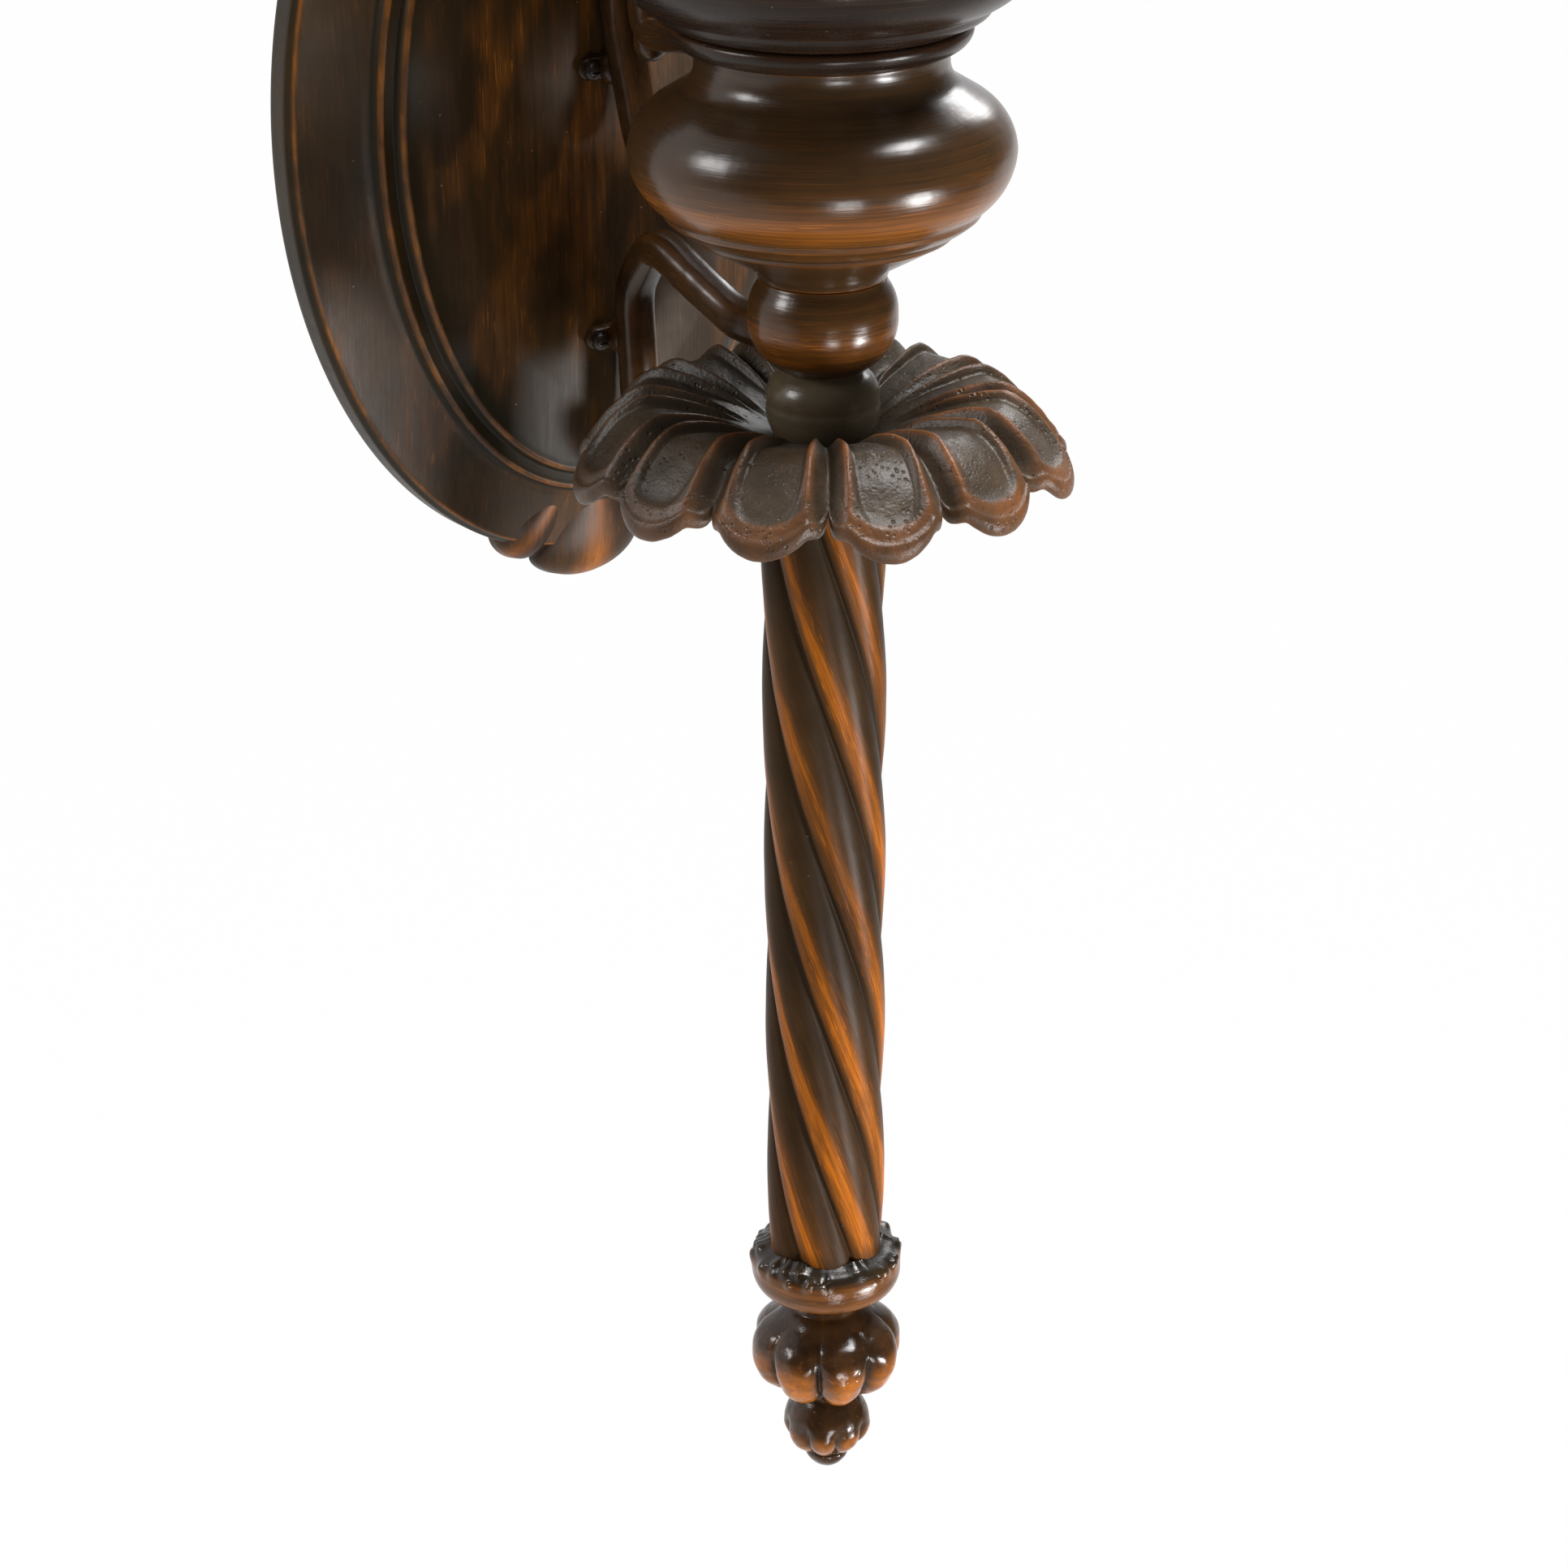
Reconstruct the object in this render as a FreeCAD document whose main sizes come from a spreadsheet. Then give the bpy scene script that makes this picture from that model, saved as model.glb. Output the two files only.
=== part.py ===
"""Torch wall light: oval moulded wall plate, two scroll arms and a turned torch with a twisted shaft.

Frame: origin on the wall at the centre of the mounting strap, +X to the viewer's right, +Y into
the wall, +Z up, millimetres. The torch axis stands torch_reach in front of the wall.
"""
import FreeCAD, Part
import Sketcher
import math
import os

Vector = FreeCAD.Vector
DOC = FreeCAD.newDocument("torch_wall_light")

# Driving dimensions: alias, value, what it is.
DIMENSIONS = [
    ("torch_reach", 140.0, "torch axis in front of the wall"),
    ("tube_radius", 5.0, "threaded tube through the torch"),
    ("tube_gap", 0.1, "radial gap round the tube"),
    ("plate_half_width", 113.0, "oval wall plate, centre to side"),
    ("plate_half_height", 157.0, "oval wall plate, centre to end"),
    ("plate_rim", 9.0, "depth of the plate's plain rim"),
    ("plate_front", 28.0, "wall to the top of the plate's domed field"),
    ("plate_wall", 3.5, "thickness of the plate casting"),
    ("strap_length", 250.0, "mounting strap"),
    ("strap_width", 26.0, "mounting strap"),
    ("strap_depth", 3.0, "mounting strap"),
    ("slot_spacing", 88.9, "strap slots, centre to centre"),
    ("slot_length", 12.0, "strap slots, end to end"),
    ("slot_radius", 2.5, "strap slots, half the width"),
    ("stud_spacing", 224.0, "plate studs, centre to centre"),
    ("stud_radius", 2.5, "plate studs"),
    ("arm_radius", 6.4, "round bar of the scroll arms"),
    ("nut_seat", 26.4, "wall to the faces the cap nuts sit on"),
    ("nut_radius", 6.0, "cap nut, middle to corner"),
    ("spigot_radius", 4.0, "arm end let into the torch"),
    ("ear_spread", 9.5, "arm screws, each side of the arm"),
    ("upper_foot", 16.0, "height of the upper arm's foot"),
    ("lower_foot", -76.0, "height of the lower arm's foot"),
    ("cup_top", 94.0, "rim of the cup"),
    ("cup_bottom", 50.0, "joint of cup and bead"),
    ("bead_bottom", 42.5, "joint of bead and urn"),
    ("urn_bottom", -30.0, "joint of urn and ball"),
    ("urn_radius", 60.3, "urn at its widest"),
    ("ball_bottom", -59.7, "joint of ball and small ball"),
    ("ball_radius", 23.8, "ball knop at its widest"),
    ("small_ball_bottom", -84.0, "joint of small ball and collar"),
    ("small_ball_radius", 18.3, "small ball at its widest"),
    ("collar_radius", 77.0, "petal tips"),
    ("collar_notch", 63.0, "bottom of the notch between petals"),
    ("collar_crest", -66.5, "height of the collar's crest"),
    ("collar_crest_radius", 43.0, "radius of the collar's crest"),
    ("collar_hub", 13.5, "hole in the collar's middle"),
    ("collar_thickness", 3.2, "collar casting"),
    ("collar_cup", 17.8, "collar's crest above its hub"),
    ("petal_count", 14.0, "petals round the collar"),
    ("shaft_top", -87.5, "joint of collar and shaft"),
    ("shaft_bottom", -386.0, "foot of the shaft, inside the ring"),
    ("shaft_lobe", 20.4, "shaft axis to the crest of a strand"),
    ("strand_radius", 11.0, "rounding of one strand"),
    ("strand_count", 6.0, "strands round the shaft"),
    ("twist_pitch", 355.0, "height of one full twist"),
    ("shaft_bore", 12.0, "hollow of the shaft"),
    ("ring_radius", 26.1, "ring at the foot of the shaft"),
    ("ring_bottom", -397.0, "underside of the ring"),
    ("finial_tip", -474.0, "lowest point"),
    ("finial_radius", 26.8, "upper tier of the finial"),
    ("finial_lobes", 8.0, "lobes round each tier"),
    ("shade_top", 244.0, "rim of the glass"),
    ("shade_wall", 3.2, "thickness of the glass"),
    ("bulb_radius", 29.0, "lamp bulb"),
]
VALUE = {alias: value for alias, value, note in DIMENSIONS}

# The turn that sets a notch between two petals, and the grooves of the shaft, toward the left front.
PETAL_TURN = -128.0
SHAFT_TURN = 27.4


def make_sheet():
    """Write the driving dimensions into a spreadsheet."""
    sheet = DOC.addObject("Spreadsheet::Sheet", "sizes")
    for row, (alias, value, note) in enumerate(DIMENSIONS, start=1):
        sheet.set(f"A{row}", alias)
        sheet.set(f"B{row}", str(value))
        sheet.set(f"C{row}", note)
        sheet.setAlias(f"B{row}", alias)
    DOC.recompute()
    return sheet


class Size:
    """A length together with the sheet expression that gives it."""

    def __init__(self, value, text):
        self.value = value
        self.text = text

    def __add__(self, other):
        other = as_size(other)
        return Size(self.value + other.value, f"({self.text} + {other.text})")

    def __sub__(self, other):
        other = as_size(other)
        return Size(self.value - other.value, f"({self.text} - {other.text})")

    def __mul__(self, factor):
        return Size(self.value * factor, f"({self.text} * {factor})")


def as_size(value):
    """Let a plain number stand where a Size does."""
    if isinstance(value, Size):
        return value
    return Size(float(value), f"({float(value)})")


def size(alias):
    """The driving dimension of that name."""
    return Size(VALUE[alias], f"sizes.{alias}")


# Sketch helpers


def origin_plane(body, role):
    """The body's own origin plane or axis of that role."""
    return next(item for item in body.Origin.OriginFeatures if item.Role == role)


def add_sketch(body, name, role, offset=0.0):
    """A sketch on one of the body's origin planes, moved along the plane's normal."""
    sketch = body.newObject("Sketcher::SketchObject", name)
    sketch.AttachmentSupport = (origin_plane(body, role), [""])
    sketch.MapMode = "FlatFace"
    sketch.AttachmentOffset = FreeCAD.Placement(Vector(0, 0, offset), FreeCAD.Rotation())
    return sketch


def bound(sketch, constraint_type, arguments, length):
    """Add a dimension and bind it to its sheet expression."""
    index = sketch.addConstraint(Sketcher.Constraint(constraint_type, *arguments, length.value))
    sketch.setExpression(f"Constraints[{index}]", length.text)


def pin(sketch, geometry, vertex, across, along):
    """Hold a vertex at a distance from each sketch axis."""
    for length, kind, axis in ((across, "DistanceX", -2), (along, "DistanceY", -1)):
        if abs(length.value) < 1e-9:
            sketch.addConstraint(Sketcher.Constraint("PointOnObject", geometry, vertex, axis))
        else:
            bound(sketch, kind, (-1, 1, geometry, vertex), length)


def outline(sketch, steps):
    """Closed outline through steps (across, along, sag).

    sag bows the piece that ends there to the right of the way of travel, and 0 leaves it straight.
    """
    corners = [(as_size(step[0]), as_size(step[1])) for step in steps]
    points = [Vector(across.value, along.value, 0) for across, along in corners]
    vertices = []
    for index, step in enumerate(steps):
        start = points[index - 1]
        end = points[index]
        sag = step[2] if len(step) > 2 else 0.0
        if sag:
            way = (end - start).normalize()
            middle = (start + end) * 0.5 + Vector(way.y, -way.x, 0) * sag
            arc = Part.Arc(start, middle, end)
            geometry = sketch.addGeometry(arc)
            sketch.addConstraint(Sketcher.Constraint("Radius", geometry, sketch.Geometry[geometry].Radius))
        else:
            geometry = sketch.addGeometry(Part.LineSegment(start, end))
        first = 1 if sketch.getPoint(geometry, 1).distanceToPoint(start) < 1e-6 else 2
        vertices.append((geometry, first, 3 - first))
    for index, (geometry, first, last) in enumerate(vertices):
        following, next_first, next_last = vertices[(index + 1) % len(vertices)]
        sketch.addConstraint(Sketcher.Constraint("Coincident", geometry, last, following, next_first))
        pin(sketch, geometry, last, *corners[index])


def circle(sketch, across, along, radius):
    """A dimensioned circle."""
    across, along, radius = as_size(across), as_size(along), as_size(radius)
    centre = Vector(across.value, along.value, 0)
    geometry = sketch.addGeometry(Part.Circle(centre, Vector(0, 0, 1), radius.value))
    bound(sketch, "Radius", (geometry,), radius)
    pin(sketch, geometry, 3, across, along)


def new_body(label, forward=None, height=None):
    """A body for one piece, set in front of the wall and at its height."""
    body = DOC.addObject("PartDesign::Body", label)
    body.Label = label
    for name, length in (("y", forward), ("z", height)):
        if length is not None:
            body.setExpression(f"Placement.Base.{name}", length.text)
    return body


def revolve(body, name, steps, kind="PartDesign::Revolution"):
    """Turn an outline of (radius, height) steps about the body's Z axis."""
    sketch = add_sketch(body, name + "_outline", "XZ_Plane")
    outline(sketch, steps)
    feature = body.newObject(kind, name)
    feature.Profile = sketch
    feature.ReferenceAxis = (sketch, ["V_Axis"])
    feature.Angle = 360.0
    body.Tip = feature
    return feature


def turned(label, steps):
    """A piece turned about the torch axis."""
    body = new_body(label, forward=size("torch_reach") * -1)
    revolve(body, label + "_turning", steps)
    return body


def pad(body, name, role, draw, length, offset=0.0, backward=False, kind="PartDesign::Pad"):
    """Draw a sketch on an origin plane and pad or pocket it."""
    sketch = add_sketch(body, name + "_sketch", role, offset)
    draw(sketch)
    feature = body.newObject(kind, name)
    feature.Profile = sketch
    feature.Length = length.value
    feature.setExpression("Length", length.text)
    feature.Reversed = backward
    body.Tip = feature
    return feature


def ring_pattern(body, name, feature, count, axis_sketch):
    """Repeat a feature round the body's Z axis."""
    pattern = body.newObject("PartDesign::PolarPattern", name)
    pattern.Originals = [feature]
    pattern.Axis = (axis_sketch, ["V_Axis"])
    pattern.Angle = 360.0
    pattern.Occurrences = int(count)
    body.Tip = pattern
    return pattern


def piece(label, shape, forward=0.0):
    """A piece whose shape comes straight from surfaces and pipes."""
    feature = DOC.addObject("Part::Feature", label)
    feature.Label = label
    feature.Shape = shape
    feature.Placement = FreeCAD.Placement(Vector(0, forward, 0), FreeCAD.Rotation())
    return feature


def rod(centre, direction, radius, length):
    """A round bar from its start point."""
    return Part.makeCylinder(radius, length, centre, direction)


def ellipsoid(centre, half_x, half_y, half_z):
    """An upright ellipsoid: a unit ball, stretched and moved."""
    stretch = FreeCAD.Matrix()
    stretch.scale(Vector(half_x, half_y, half_z))
    stretch.move(centre)
    return Part.makeSphere(1.0).transformGeometry(stretch)


# Wall side


def wall_strap():
    """Steel strap on the wall: two slots, a wire hole in the middle and two tapped stud holes."""
    body = new_body("mounting_strap")

    def strap(sketch):
        half_width = size("strap_width") * 0.5
        half_length = size("strap_length") * 0.5
        outline(sketch, [
            (half_width * -1, half_length * -1), (half_width, half_length * -1),
            (half_width, half_length), (half_width * -1, half_length),
        ])

    def slot(sketch, height):
        radius = size("slot_radius")
        half_run = size("slot_length") * 0.5 - radius
        arcs = []
        for end, start_angle in ((height + half_run, 0.0), (height - half_run, math.pi)):
            ring = Part.Circle(Vector(0, end.value, 0), Vector(0, 0, 1), radius.value)
            arcs.append(sketch.addGeometry(Part.ArcOfCircle(ring, start_angle, start_angle + math.pi)))
            pin(sketch, arcs[-1], 3, as_size(0), end)
        for side, first, last in ((1, (arcs[1], 2), (arcs[0], 1)), (-1, (arcs[0], 2), (arcs[1], 1))):
            low = Vector(side * radius.value, (height - half_run).value, 0)
            high = Vector(side * radius.value, (height + half_run).value, 0)
            ends = (low, high) if side > 0 else (high, low)
            line = sketch.addGeometry(Part.LineSegment(*ends))
            sketch.addConstraint(Sketcher.Constraint("Tangent", *first, line, 1))
            sketch.addConstraint(Sketcher.Constraint("Tangent", line, 2, *last))
        bound(sketch, "Radius", (arcs[0],), radius)

    def holes(sketch):
        circle(sketch, 0, 0, 8.0)
        circle(sketch, 0, 24.0, 2.05)
        for side in (-1, 1):
            circle(sketch, 0, size("stud_spacing") * (0.5 * side), size("stud_radius") + 0.05)

    pad(body, "strap", "XZ_Plane", strap, size("strap_depth"))
    through = size("strap_depth") + 2.0
    for name, side in (("lower_slot", -1), ("upper_slot", 1)):
        pad(body, name, "XZ_Plane", lambda sketch: slot(sketch, size("slot_spacing") * (0.5 * side)),
            through, -1.0, True, "PartDesign::Pocket")
    pad(body, "strap_holes", "XZ_Plane", holes, through, -1.0, True, "PartDesign::Pocket")
    return body


def plate_studs():
    """Two threaded studs that stand out of the strap and carry the plate."""
    body = new_body("plate_studs")

    def studs(sketch):
        for side in (-1, 1):
            circle(sketch, 0, size("stud_spacing") * (0.5 * side), size("stud_radius"))

    pad(body, "stud_pad", "XZ_Plane", studs, size("nut_seat") + 2.8)
    return body


def acorn_nuts():
    """Two low cap nuts that hold the plate on its studs, turned with a spanner from the side."""
    nuts = []
    seat = VALUE["nut_seat"]
    corner_radius = VALUE["nut_radius"]
    for side in (-1, 1):
        height = VALUE["stud_spacing"] * 0.5 * side
        corners = [
            Vector(corner_radius * math.cos(math.radians(60 * k)), -seat,
                   height + corner_radius * math.sin(math.radians(60 * k)))
            for k in range(7)
        ]
        hexagon = Part.Face(Part.makePolygon(corners)).extrude(Vector(0, -3.0, 0))
        dome = ellipsoid(Vector(0, -seat - 3.0, height), 5.0, 1.8, 5.0)
        bore = rod(Vector(0, -seat + 1, height), Vector(0, -1, 0), VALUE["stud_radius"] + 0.05, 4.0)
        nuts.append(hexagon.fuse(dome).cut(bore))
    return piece("acorn_nuts", Part.makeCompound(nuts))


def ground_screw():
    """Earth screw in the strap, beside the wire hole."""
    deep = VALUE["strap_depth"]
    shank = rod(Vector(0, 0, 24.0), Vector(0, -1, 0), 2.0, deep + 1.0)
    head = rod(Vector(0, -deep, 24.0), Vector(0, -1, 0), 4.5, 2.6)
    slot = Part.makeBox(10.0, 1.2, 1.2, Vector(-5.0, -deep - 2.8, 23.4))
    return piece("ground_screw", shank.fuse(head).cut(slot))


def oval_loft(sections, ruled=True):
    """Solid through ovals (half width, half height, depth in front of the wall)."""
    wires = []
    for half_width, half_height, depth in sections:
        long_way = Vector(0, -depth, half_height)
        wide_way = Vector(half_width, -depth, 0)
        wires.append(Part.Wire(Part.Ellipse(long_way, wide_way, Vector(0, -depth, 0)).toShape()))
    return Part.makeLoft(wires, True, ruled)


def shell_lobe(angle, reach, half_width, half_length, half_depth):
    """One rounded flute of the scallop at the plate's foot, leaning from the plumb by angle."""
    lobe = ellipsoid(Vector(0, -5.0, -reach), half_width, half_depth, half_length)
    lobe.rotate(Vector(0, 0, 0), Vector(0, 1, 0), angle)
    lobe.translate(Vector(0, 0, -124.0))
    return lobe


def backplate():
    """Hollow oval plate: plain rim, sloped band, two moulded steps, domed field and a scallop foot."""
    wide = VALUE["plate_half_width"]
    tall = VALUE["plate_half_height"]
    rim = VALUE["plate_rim"]
    front = VALUE["plate_front"]
    wall = VALUE["plate_wall"]
    moulded = oval_loft([
        (wide, tall, 0.0), (wide, tall, rim), (wide - 1.6, tall - 1.6, rim + 1.6),
        (wide - 27.0, tall - 24.0, front - 10.5), (wide - 28.0, tall - 25.0, front - 7.2),
        (wide - 34.0, tall - 31.0, front - 6.8), (wide - 35.0, tall - 32.0, front - 3.6),
        (wide - 37.0, tall - 34.0, front - 3.2),
    ])
    field = oval_loft([
        (wide - 37.0, tall - 34.0, front - 3.6), (wide - 37.0, tall - 34.0, front - 3.2),
        (wide - 55.0, tall - 58.0, front - 1.2), (wide - 85.0, tall - 110.0, front - 0.1),
        (wide - 100.0, tall - 136.0, front),
    ])
    outer = moulded.fuse(field)
    for angle, reach, half_width, half_length, half_depth in (
            (0, 24.0, 19.5, 23.5, 12.5),
            (38, 25.0, 11.0, 19.0, 11.0), (-38, 25.0, 11.0, 19.0, 11.0),
            (62, 30.0, 8.0, 18.0, 9.0), (-62, 30.0, 8.0, 18.0, 9.0)):
        outer = outer.fuse(shell_lobe(angle, reach, half_width, half_length, half_depth))
    for side in (-1, 1):
        stud_boss = Vector(0, 6.0 - front, VALUE["stud_spacing"] * 0.5 * side)
        outer = outer.fuse(rod(stud_boss, Vector(0, -1, 0), 7.5, VALUE["nut_seat"] + 6.0 - front))
        foot_boss = Vector(VALUE["ear_spread"] * side, 5.0 - front, VALUE["lower_foot"])
        outer = outer.fuse(rod(foot_boss, Vector(0, -1, 0), 6.5, 5.0))
    spread = VALUE["ear_spread"]
    corner = Vector(-spread, -front, VALUE["lower_foot"] - 6.5)
    outer = outer.fuse(Part.makeBox(2 * spread, 5.0, 13.0, corner))
    behind_wall = Part.makeBox(400, 60, 500, Vector(-200, 0, -250))
    hollow = oval_loft([
        (wide - wall, tall - wall, -1.0), (wide - wall, tall - wall, rim - 1.0),
        (wide - 30.0, tall - 28.0, front - 10.5 - wall), (wide - 38.0, tall - 35.0, front - 3.6 - wall),
        (wide - 85.0, tall - 110.0, front - 0.6 - wall),
    ])
    plate = outer.cut(behind_wall).cut(hollow)
    for side in (-1, 1):
        height = VALUE["stud_spacing"] * 0.5 * side
        plate = plate.cut(rod(Vector(0, 0, height), Vector(0, -1, 0), VALUE["stud_radius"] + 0.3, 40))
        for foot in ("upper_foot", "lower_foot"):
            centre = Vector(VALUE["ear_spread"] * side, 0, VALUE[foot])
            plate = plate.cut(rod(centre, Vector(0, -1, 0), 1.8, 40))
    plate = plate.cut(rod(Vector(0, 0, 30), Vector(0, -1, 0), 4.0, 40))
    return piece("backplate", plate)


# Scroll arms


def route(points, radii):
    """Straight runs joined by tangent arcs through (forward, height) points."""
    corners = [Vector(0, forward, height) for forward, height in points]
    edges = []
    start = corners[0]
    for before, corner, after, radius in zip(corners, corners[1:], corners[2:], radii):
        inward = (before - corner).normalize()
        outward = (after - corner).normalize()
        half = inward.getAngle(outward) / 2
        reach = radius / math.tan(half)
        enter = corner + inward * reach
        leave = corner + outward * reach
        centre = corner + (inward + outward).normalize() * (radius / math.sin(half))
        middle = centre + (corner - centre).normalize() * radius
        if start.distanceToPoint(enter) > 1e-6:
            edges.append(Part.LineSegment(start, enter).toShape())
        edges.append(Part.Arc(enter, middle, leave).toShape())
        start = leave
    edges.append(Part.LineSegment(start, corners[-1]).toShape())
    return Part.Wire(edges)


def bar(points, radii, radius):
    """Round bar along a route."""
    start = Vector(0, *points[0])
    way = (Vector(0, *points[1]) - start).normalize()
    section = Part.Wire(Part.Circle(start, way, radius).toShape())
    return route(points, radii).makePipeShell([section], True, False)


def foot(arm_forward, height):
    """Oval foot on the plate with two ears, and the short stem that carries the arm."""
    front = VALUE["plate_front"]
    spread = VALUE["ear_spread"]
    ears = Part.makeBox(2 * spread, 3.4, 8.0, Vector(-spread, -front - 3.4, height - 4.0))
    for side in (-1, 1):
        ears = ears.fuse(rod(Vector(side * spread, -front, height), Vector(0, -1, 0), 4.6, 3.4))
    stem = rod(Vector(0, -front, height), Vector(0, -1, 0), 5.6, -arm_forward - front)
    solid = ears.fuse(stem)
    for side in (-1, 1):
        solid = solid.cut(rod(Vector(side * spread, -front + 1, height), Vector(0, -1, 0), 1.8, 6.0))
    return solid


def upper_arm():
    """Upper scroll: from the urn's neck out and over its crest, then down the plate to a curled end."""
    radius = VALUE["arm_radius"]
    neck = -VALUE["torch_reach"]
    spigot = rod(Vector(0, neck + 33.0, 37.0), Vector(0, 1, 0), VALUE["spigot_radius"], 12.0)
    strand = bar([
        (neck + 44.6, 37.0), (neck + 58.0, 36.0), (neck + 89.0, 31.0), (neck + 90.0, 70.0),
        (neck + 104.8, 71.0), (neck + 104.8, 33.0), (neck + 93.0, -8.0), (neck + 80.0, -16.0),
    ], [20.0, 10.0, 8.0, 8.0, 30.0, 9.0], radius)
    end = Part.makeSphere(radius + 1.6, Vector(0, neck + 81.0, -15.0))
    bud = ellipsoid(Vector(0, neck + 89.5, 27.0), 5.6, 5.6, 6.5)
    solid = strand.fuse(spigot).fuse(end).fuse(bud).fuse(foot(neck + 101.0, VALUE["upper_foot"]))
    return piece("upper_scroll_arm", solid)


def lower_arm():
    """Lower scroll: from the ball knop out over its crest, down the plate and into a tight curl."""
    radius = VALUE["arm_radius"]
    neck = -VALUE["torch_reach"]
    spigot = rod(Vector(0, neck + 17.0, -54.0), Vector(0, 1, 0), VALUE["spigot_radius"], 18.0)
    strand = bar([
        (neck + 26.0, -54.0), (neck + 44.0, -55.0), (neck + 88.0, -38.5), (neck + 101.5, -57.0),
        (neck + 97.0, -126.0), (neck + 82.0, -126.0), (neck + 82.0, -112.0),
    ], [20.0, 18.0, 25.0, 7.0, 7.0], radius)
    end = Part.makeSphere(radius + 1.2, Vector(0, neck + 82.0, -112.0))
    bud = ellipsoid(Vector(0, neck + 94.5, -92.0), 5.0, 5.0, 6.0)
    solid = strand.fuse(spigot).fuse(end).fuse(bud).fuse(foot(neck + 101.0, VALUE["lower_foot"]))
    return piece("lower_scroll_arm", solid)


def arm_screws():
    """Four round-head screws through the arms' ears into the plate."""
    screws = []
    front = VALUE["plate_front"] + 3.4
    for alias in ("upper_foot", "lower_foot"):
        for side in (-1, 1):
            centre = Vector(VALUE["ear_spread"] * side, -front, VALUE[alias])
            head = Part.makeSphere(3.2, centre)
            head = head.cut(Part.makeBox(8, 8, 8, centre + Vector(-4, 0, -4)))
            shank = rod(centre, Vector(0, 1, 0), 1.7, 9.0)
            slot = Part.makeBox(8.0, 1.0, 0.8, centre + Vector(-4, -3.4, -0.4))
            screws.append(head.fuse(shank).cut(slot))
    return piece("arm_screws", Part.makeCompound(screws))


# Torch, from the glass down


def tube_hole():
    """Radius of the hole that the torch's pieces have for the tube."""
    return size("tube_radius") + size("tube_gap")


def glass_shade():
    """Open flared glass that stands on the cup's ledge by its own weight."""
    top = size("shade_top")
    foot_height = size("cup_top") - 24.0
    wall = size("shade_wall")
    return turned("glass_shade", [
        (48.0, foot_height), (62.5, foot_height), (64.0, size("cup_top") + 4.0, -0.6),
        (84.0, top - 62.0, 6.0), (98.0, top - 2.0, -2.6), (98.0 - VALUE["shade_wall"], top, 0.8),
        (wall * -1 + 83.0, top - 62.0, 2.6), (wall * -1 + 64.0, size("cup_top") + 4.0, -6.0),
        (wall * -1 + 62.0, foot_height + wall, 0.6), (48.0, foot_height + wall),
    ])


def cup():
    """Turned cup that carries the glass: stepped underside, swelling wall, rolled rim and inner ledge."""
    top = size("cup_top")
    base = size("cup_bottom")
    return turned("cup", [
        (tube_hole(), base), (44.0, base), (46.5, base + 1.6, 0.6), (48.6, base + 2.0),
        (52.6, base + 5.2, 0.7), (54.0, base + 6.6, -0.3), (68.0, base + 25.0, 3.2),
        (70.5, top - 8.0, -1.0), (75.0, top - 6.0, -0.8), (75.0, top - 1.0, 1.6), (70.0, top, 0.6),
        (66.5, top - 2.0), (66.5, top - 24.3), (55.0, top - 24.3), (47.0, base + 8.0, 2.5),
        (16.0, base + 5.0), (tube_hole(), base + 5.0),
    ])


def neck_bead():
    """Plain half-round bead between cup and urn."""
    low = size("bead_bottom")
    return turned("neck_bead", [
        (tube_hole(), low), (40.2, low), (46.6, low + 5.6, 1.5), (43.6, size("cup_bottom"), 0.4),
        (tube_hole(), size("cup_bottom")),
    ])


def urn():
    """Hollow turned urn: flared foot, bead, full belly, round shoulder and narrow neck."""
    low = size("urn_bottom")
    top = size("bead_bottom")
    belly = size("urn_radius")
    body = turned("urn", [
        (tube_hole(), low), (20.3, low), (24.2, low + 5.0, -0.9), (40.3, low + 14.0),
        (41.6, low + 16.2, 0.7), (49.6, low + 20.6, 0.8), (50.2, low + 22.6, -0.5), (51.8, low + 23.6),
        (belly, low + 41.0, 2.2), (50.9, low + 56.4, 2.2), (44.0, low + 60.6),
        (39.3, low + 68.4, -1.4), (40.2, top, -0.3), (tube_hole(), top),
    ])
    revolve(body, "urn_hollow", [
        (tube_hole() + 4.0, low + 14.0), (34.0, low + 18.0), (belly - 6.0, low + 41.0, 3.0),
        (44.0, low + 55.0, 2.5), (33.0, low + 62.0), (33.0, low + 66.0), (tube_hole() + 4.0, low + 66.0),
    ], "PartDesign::Groove")

    def spigot_hole(sketch):
        circle(sketch, 0, 37.0, size("spigot_radius") + 0.05)

    pad(body, "urn_spigot_hole", "XZ_Plane", spigot_hole, size("urn_radius"), -32.8, False,
        "PartDesign::Pocket")
    return body


def ball_knop():
    """Turned ball below the urn, drilled at the back for the lower arm."""
    low = size("ball_bottom")
    body = turned("ball_knop", [
        (tube_hole(), low), (13.0, low), (size("ball_radius"), low + 17.7, 3.4),
        (20.2, size("urn_bottom"), 1.0), (tube_hole(), size("urn_bottom")),
    ])

    def spigot_hole(sketch):
        circle(sketch, 0, -54.0, size("spigot_radius") + 0.05)

    pad(body, "ball_spigot_hole", "XZ_Plane", spigot_hole, size("ball_radius"), -16.9, False,
        "PartDesign::Pocket")
    return body


def small_ball():
    """Smaller turned ball that sits in the collar."""
    low = size("small_ball_bottom")
    spigot = size("collar_hub") - 0.1
    return turned("small_ball", [
        (tube_hole(), size("shaft_top")), (spigot, size("shaft_top")), (spigot, low + 0.4), (13.9, low + 0.4),
        (size("small_ball_radius"), low + 13.6, 1.15),
        (17.6, low + 15.0, 0.1), (12.9, size("ball_bottom"), 1.5), (tube_hole(), size("ball_bottom")),
    ])


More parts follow.
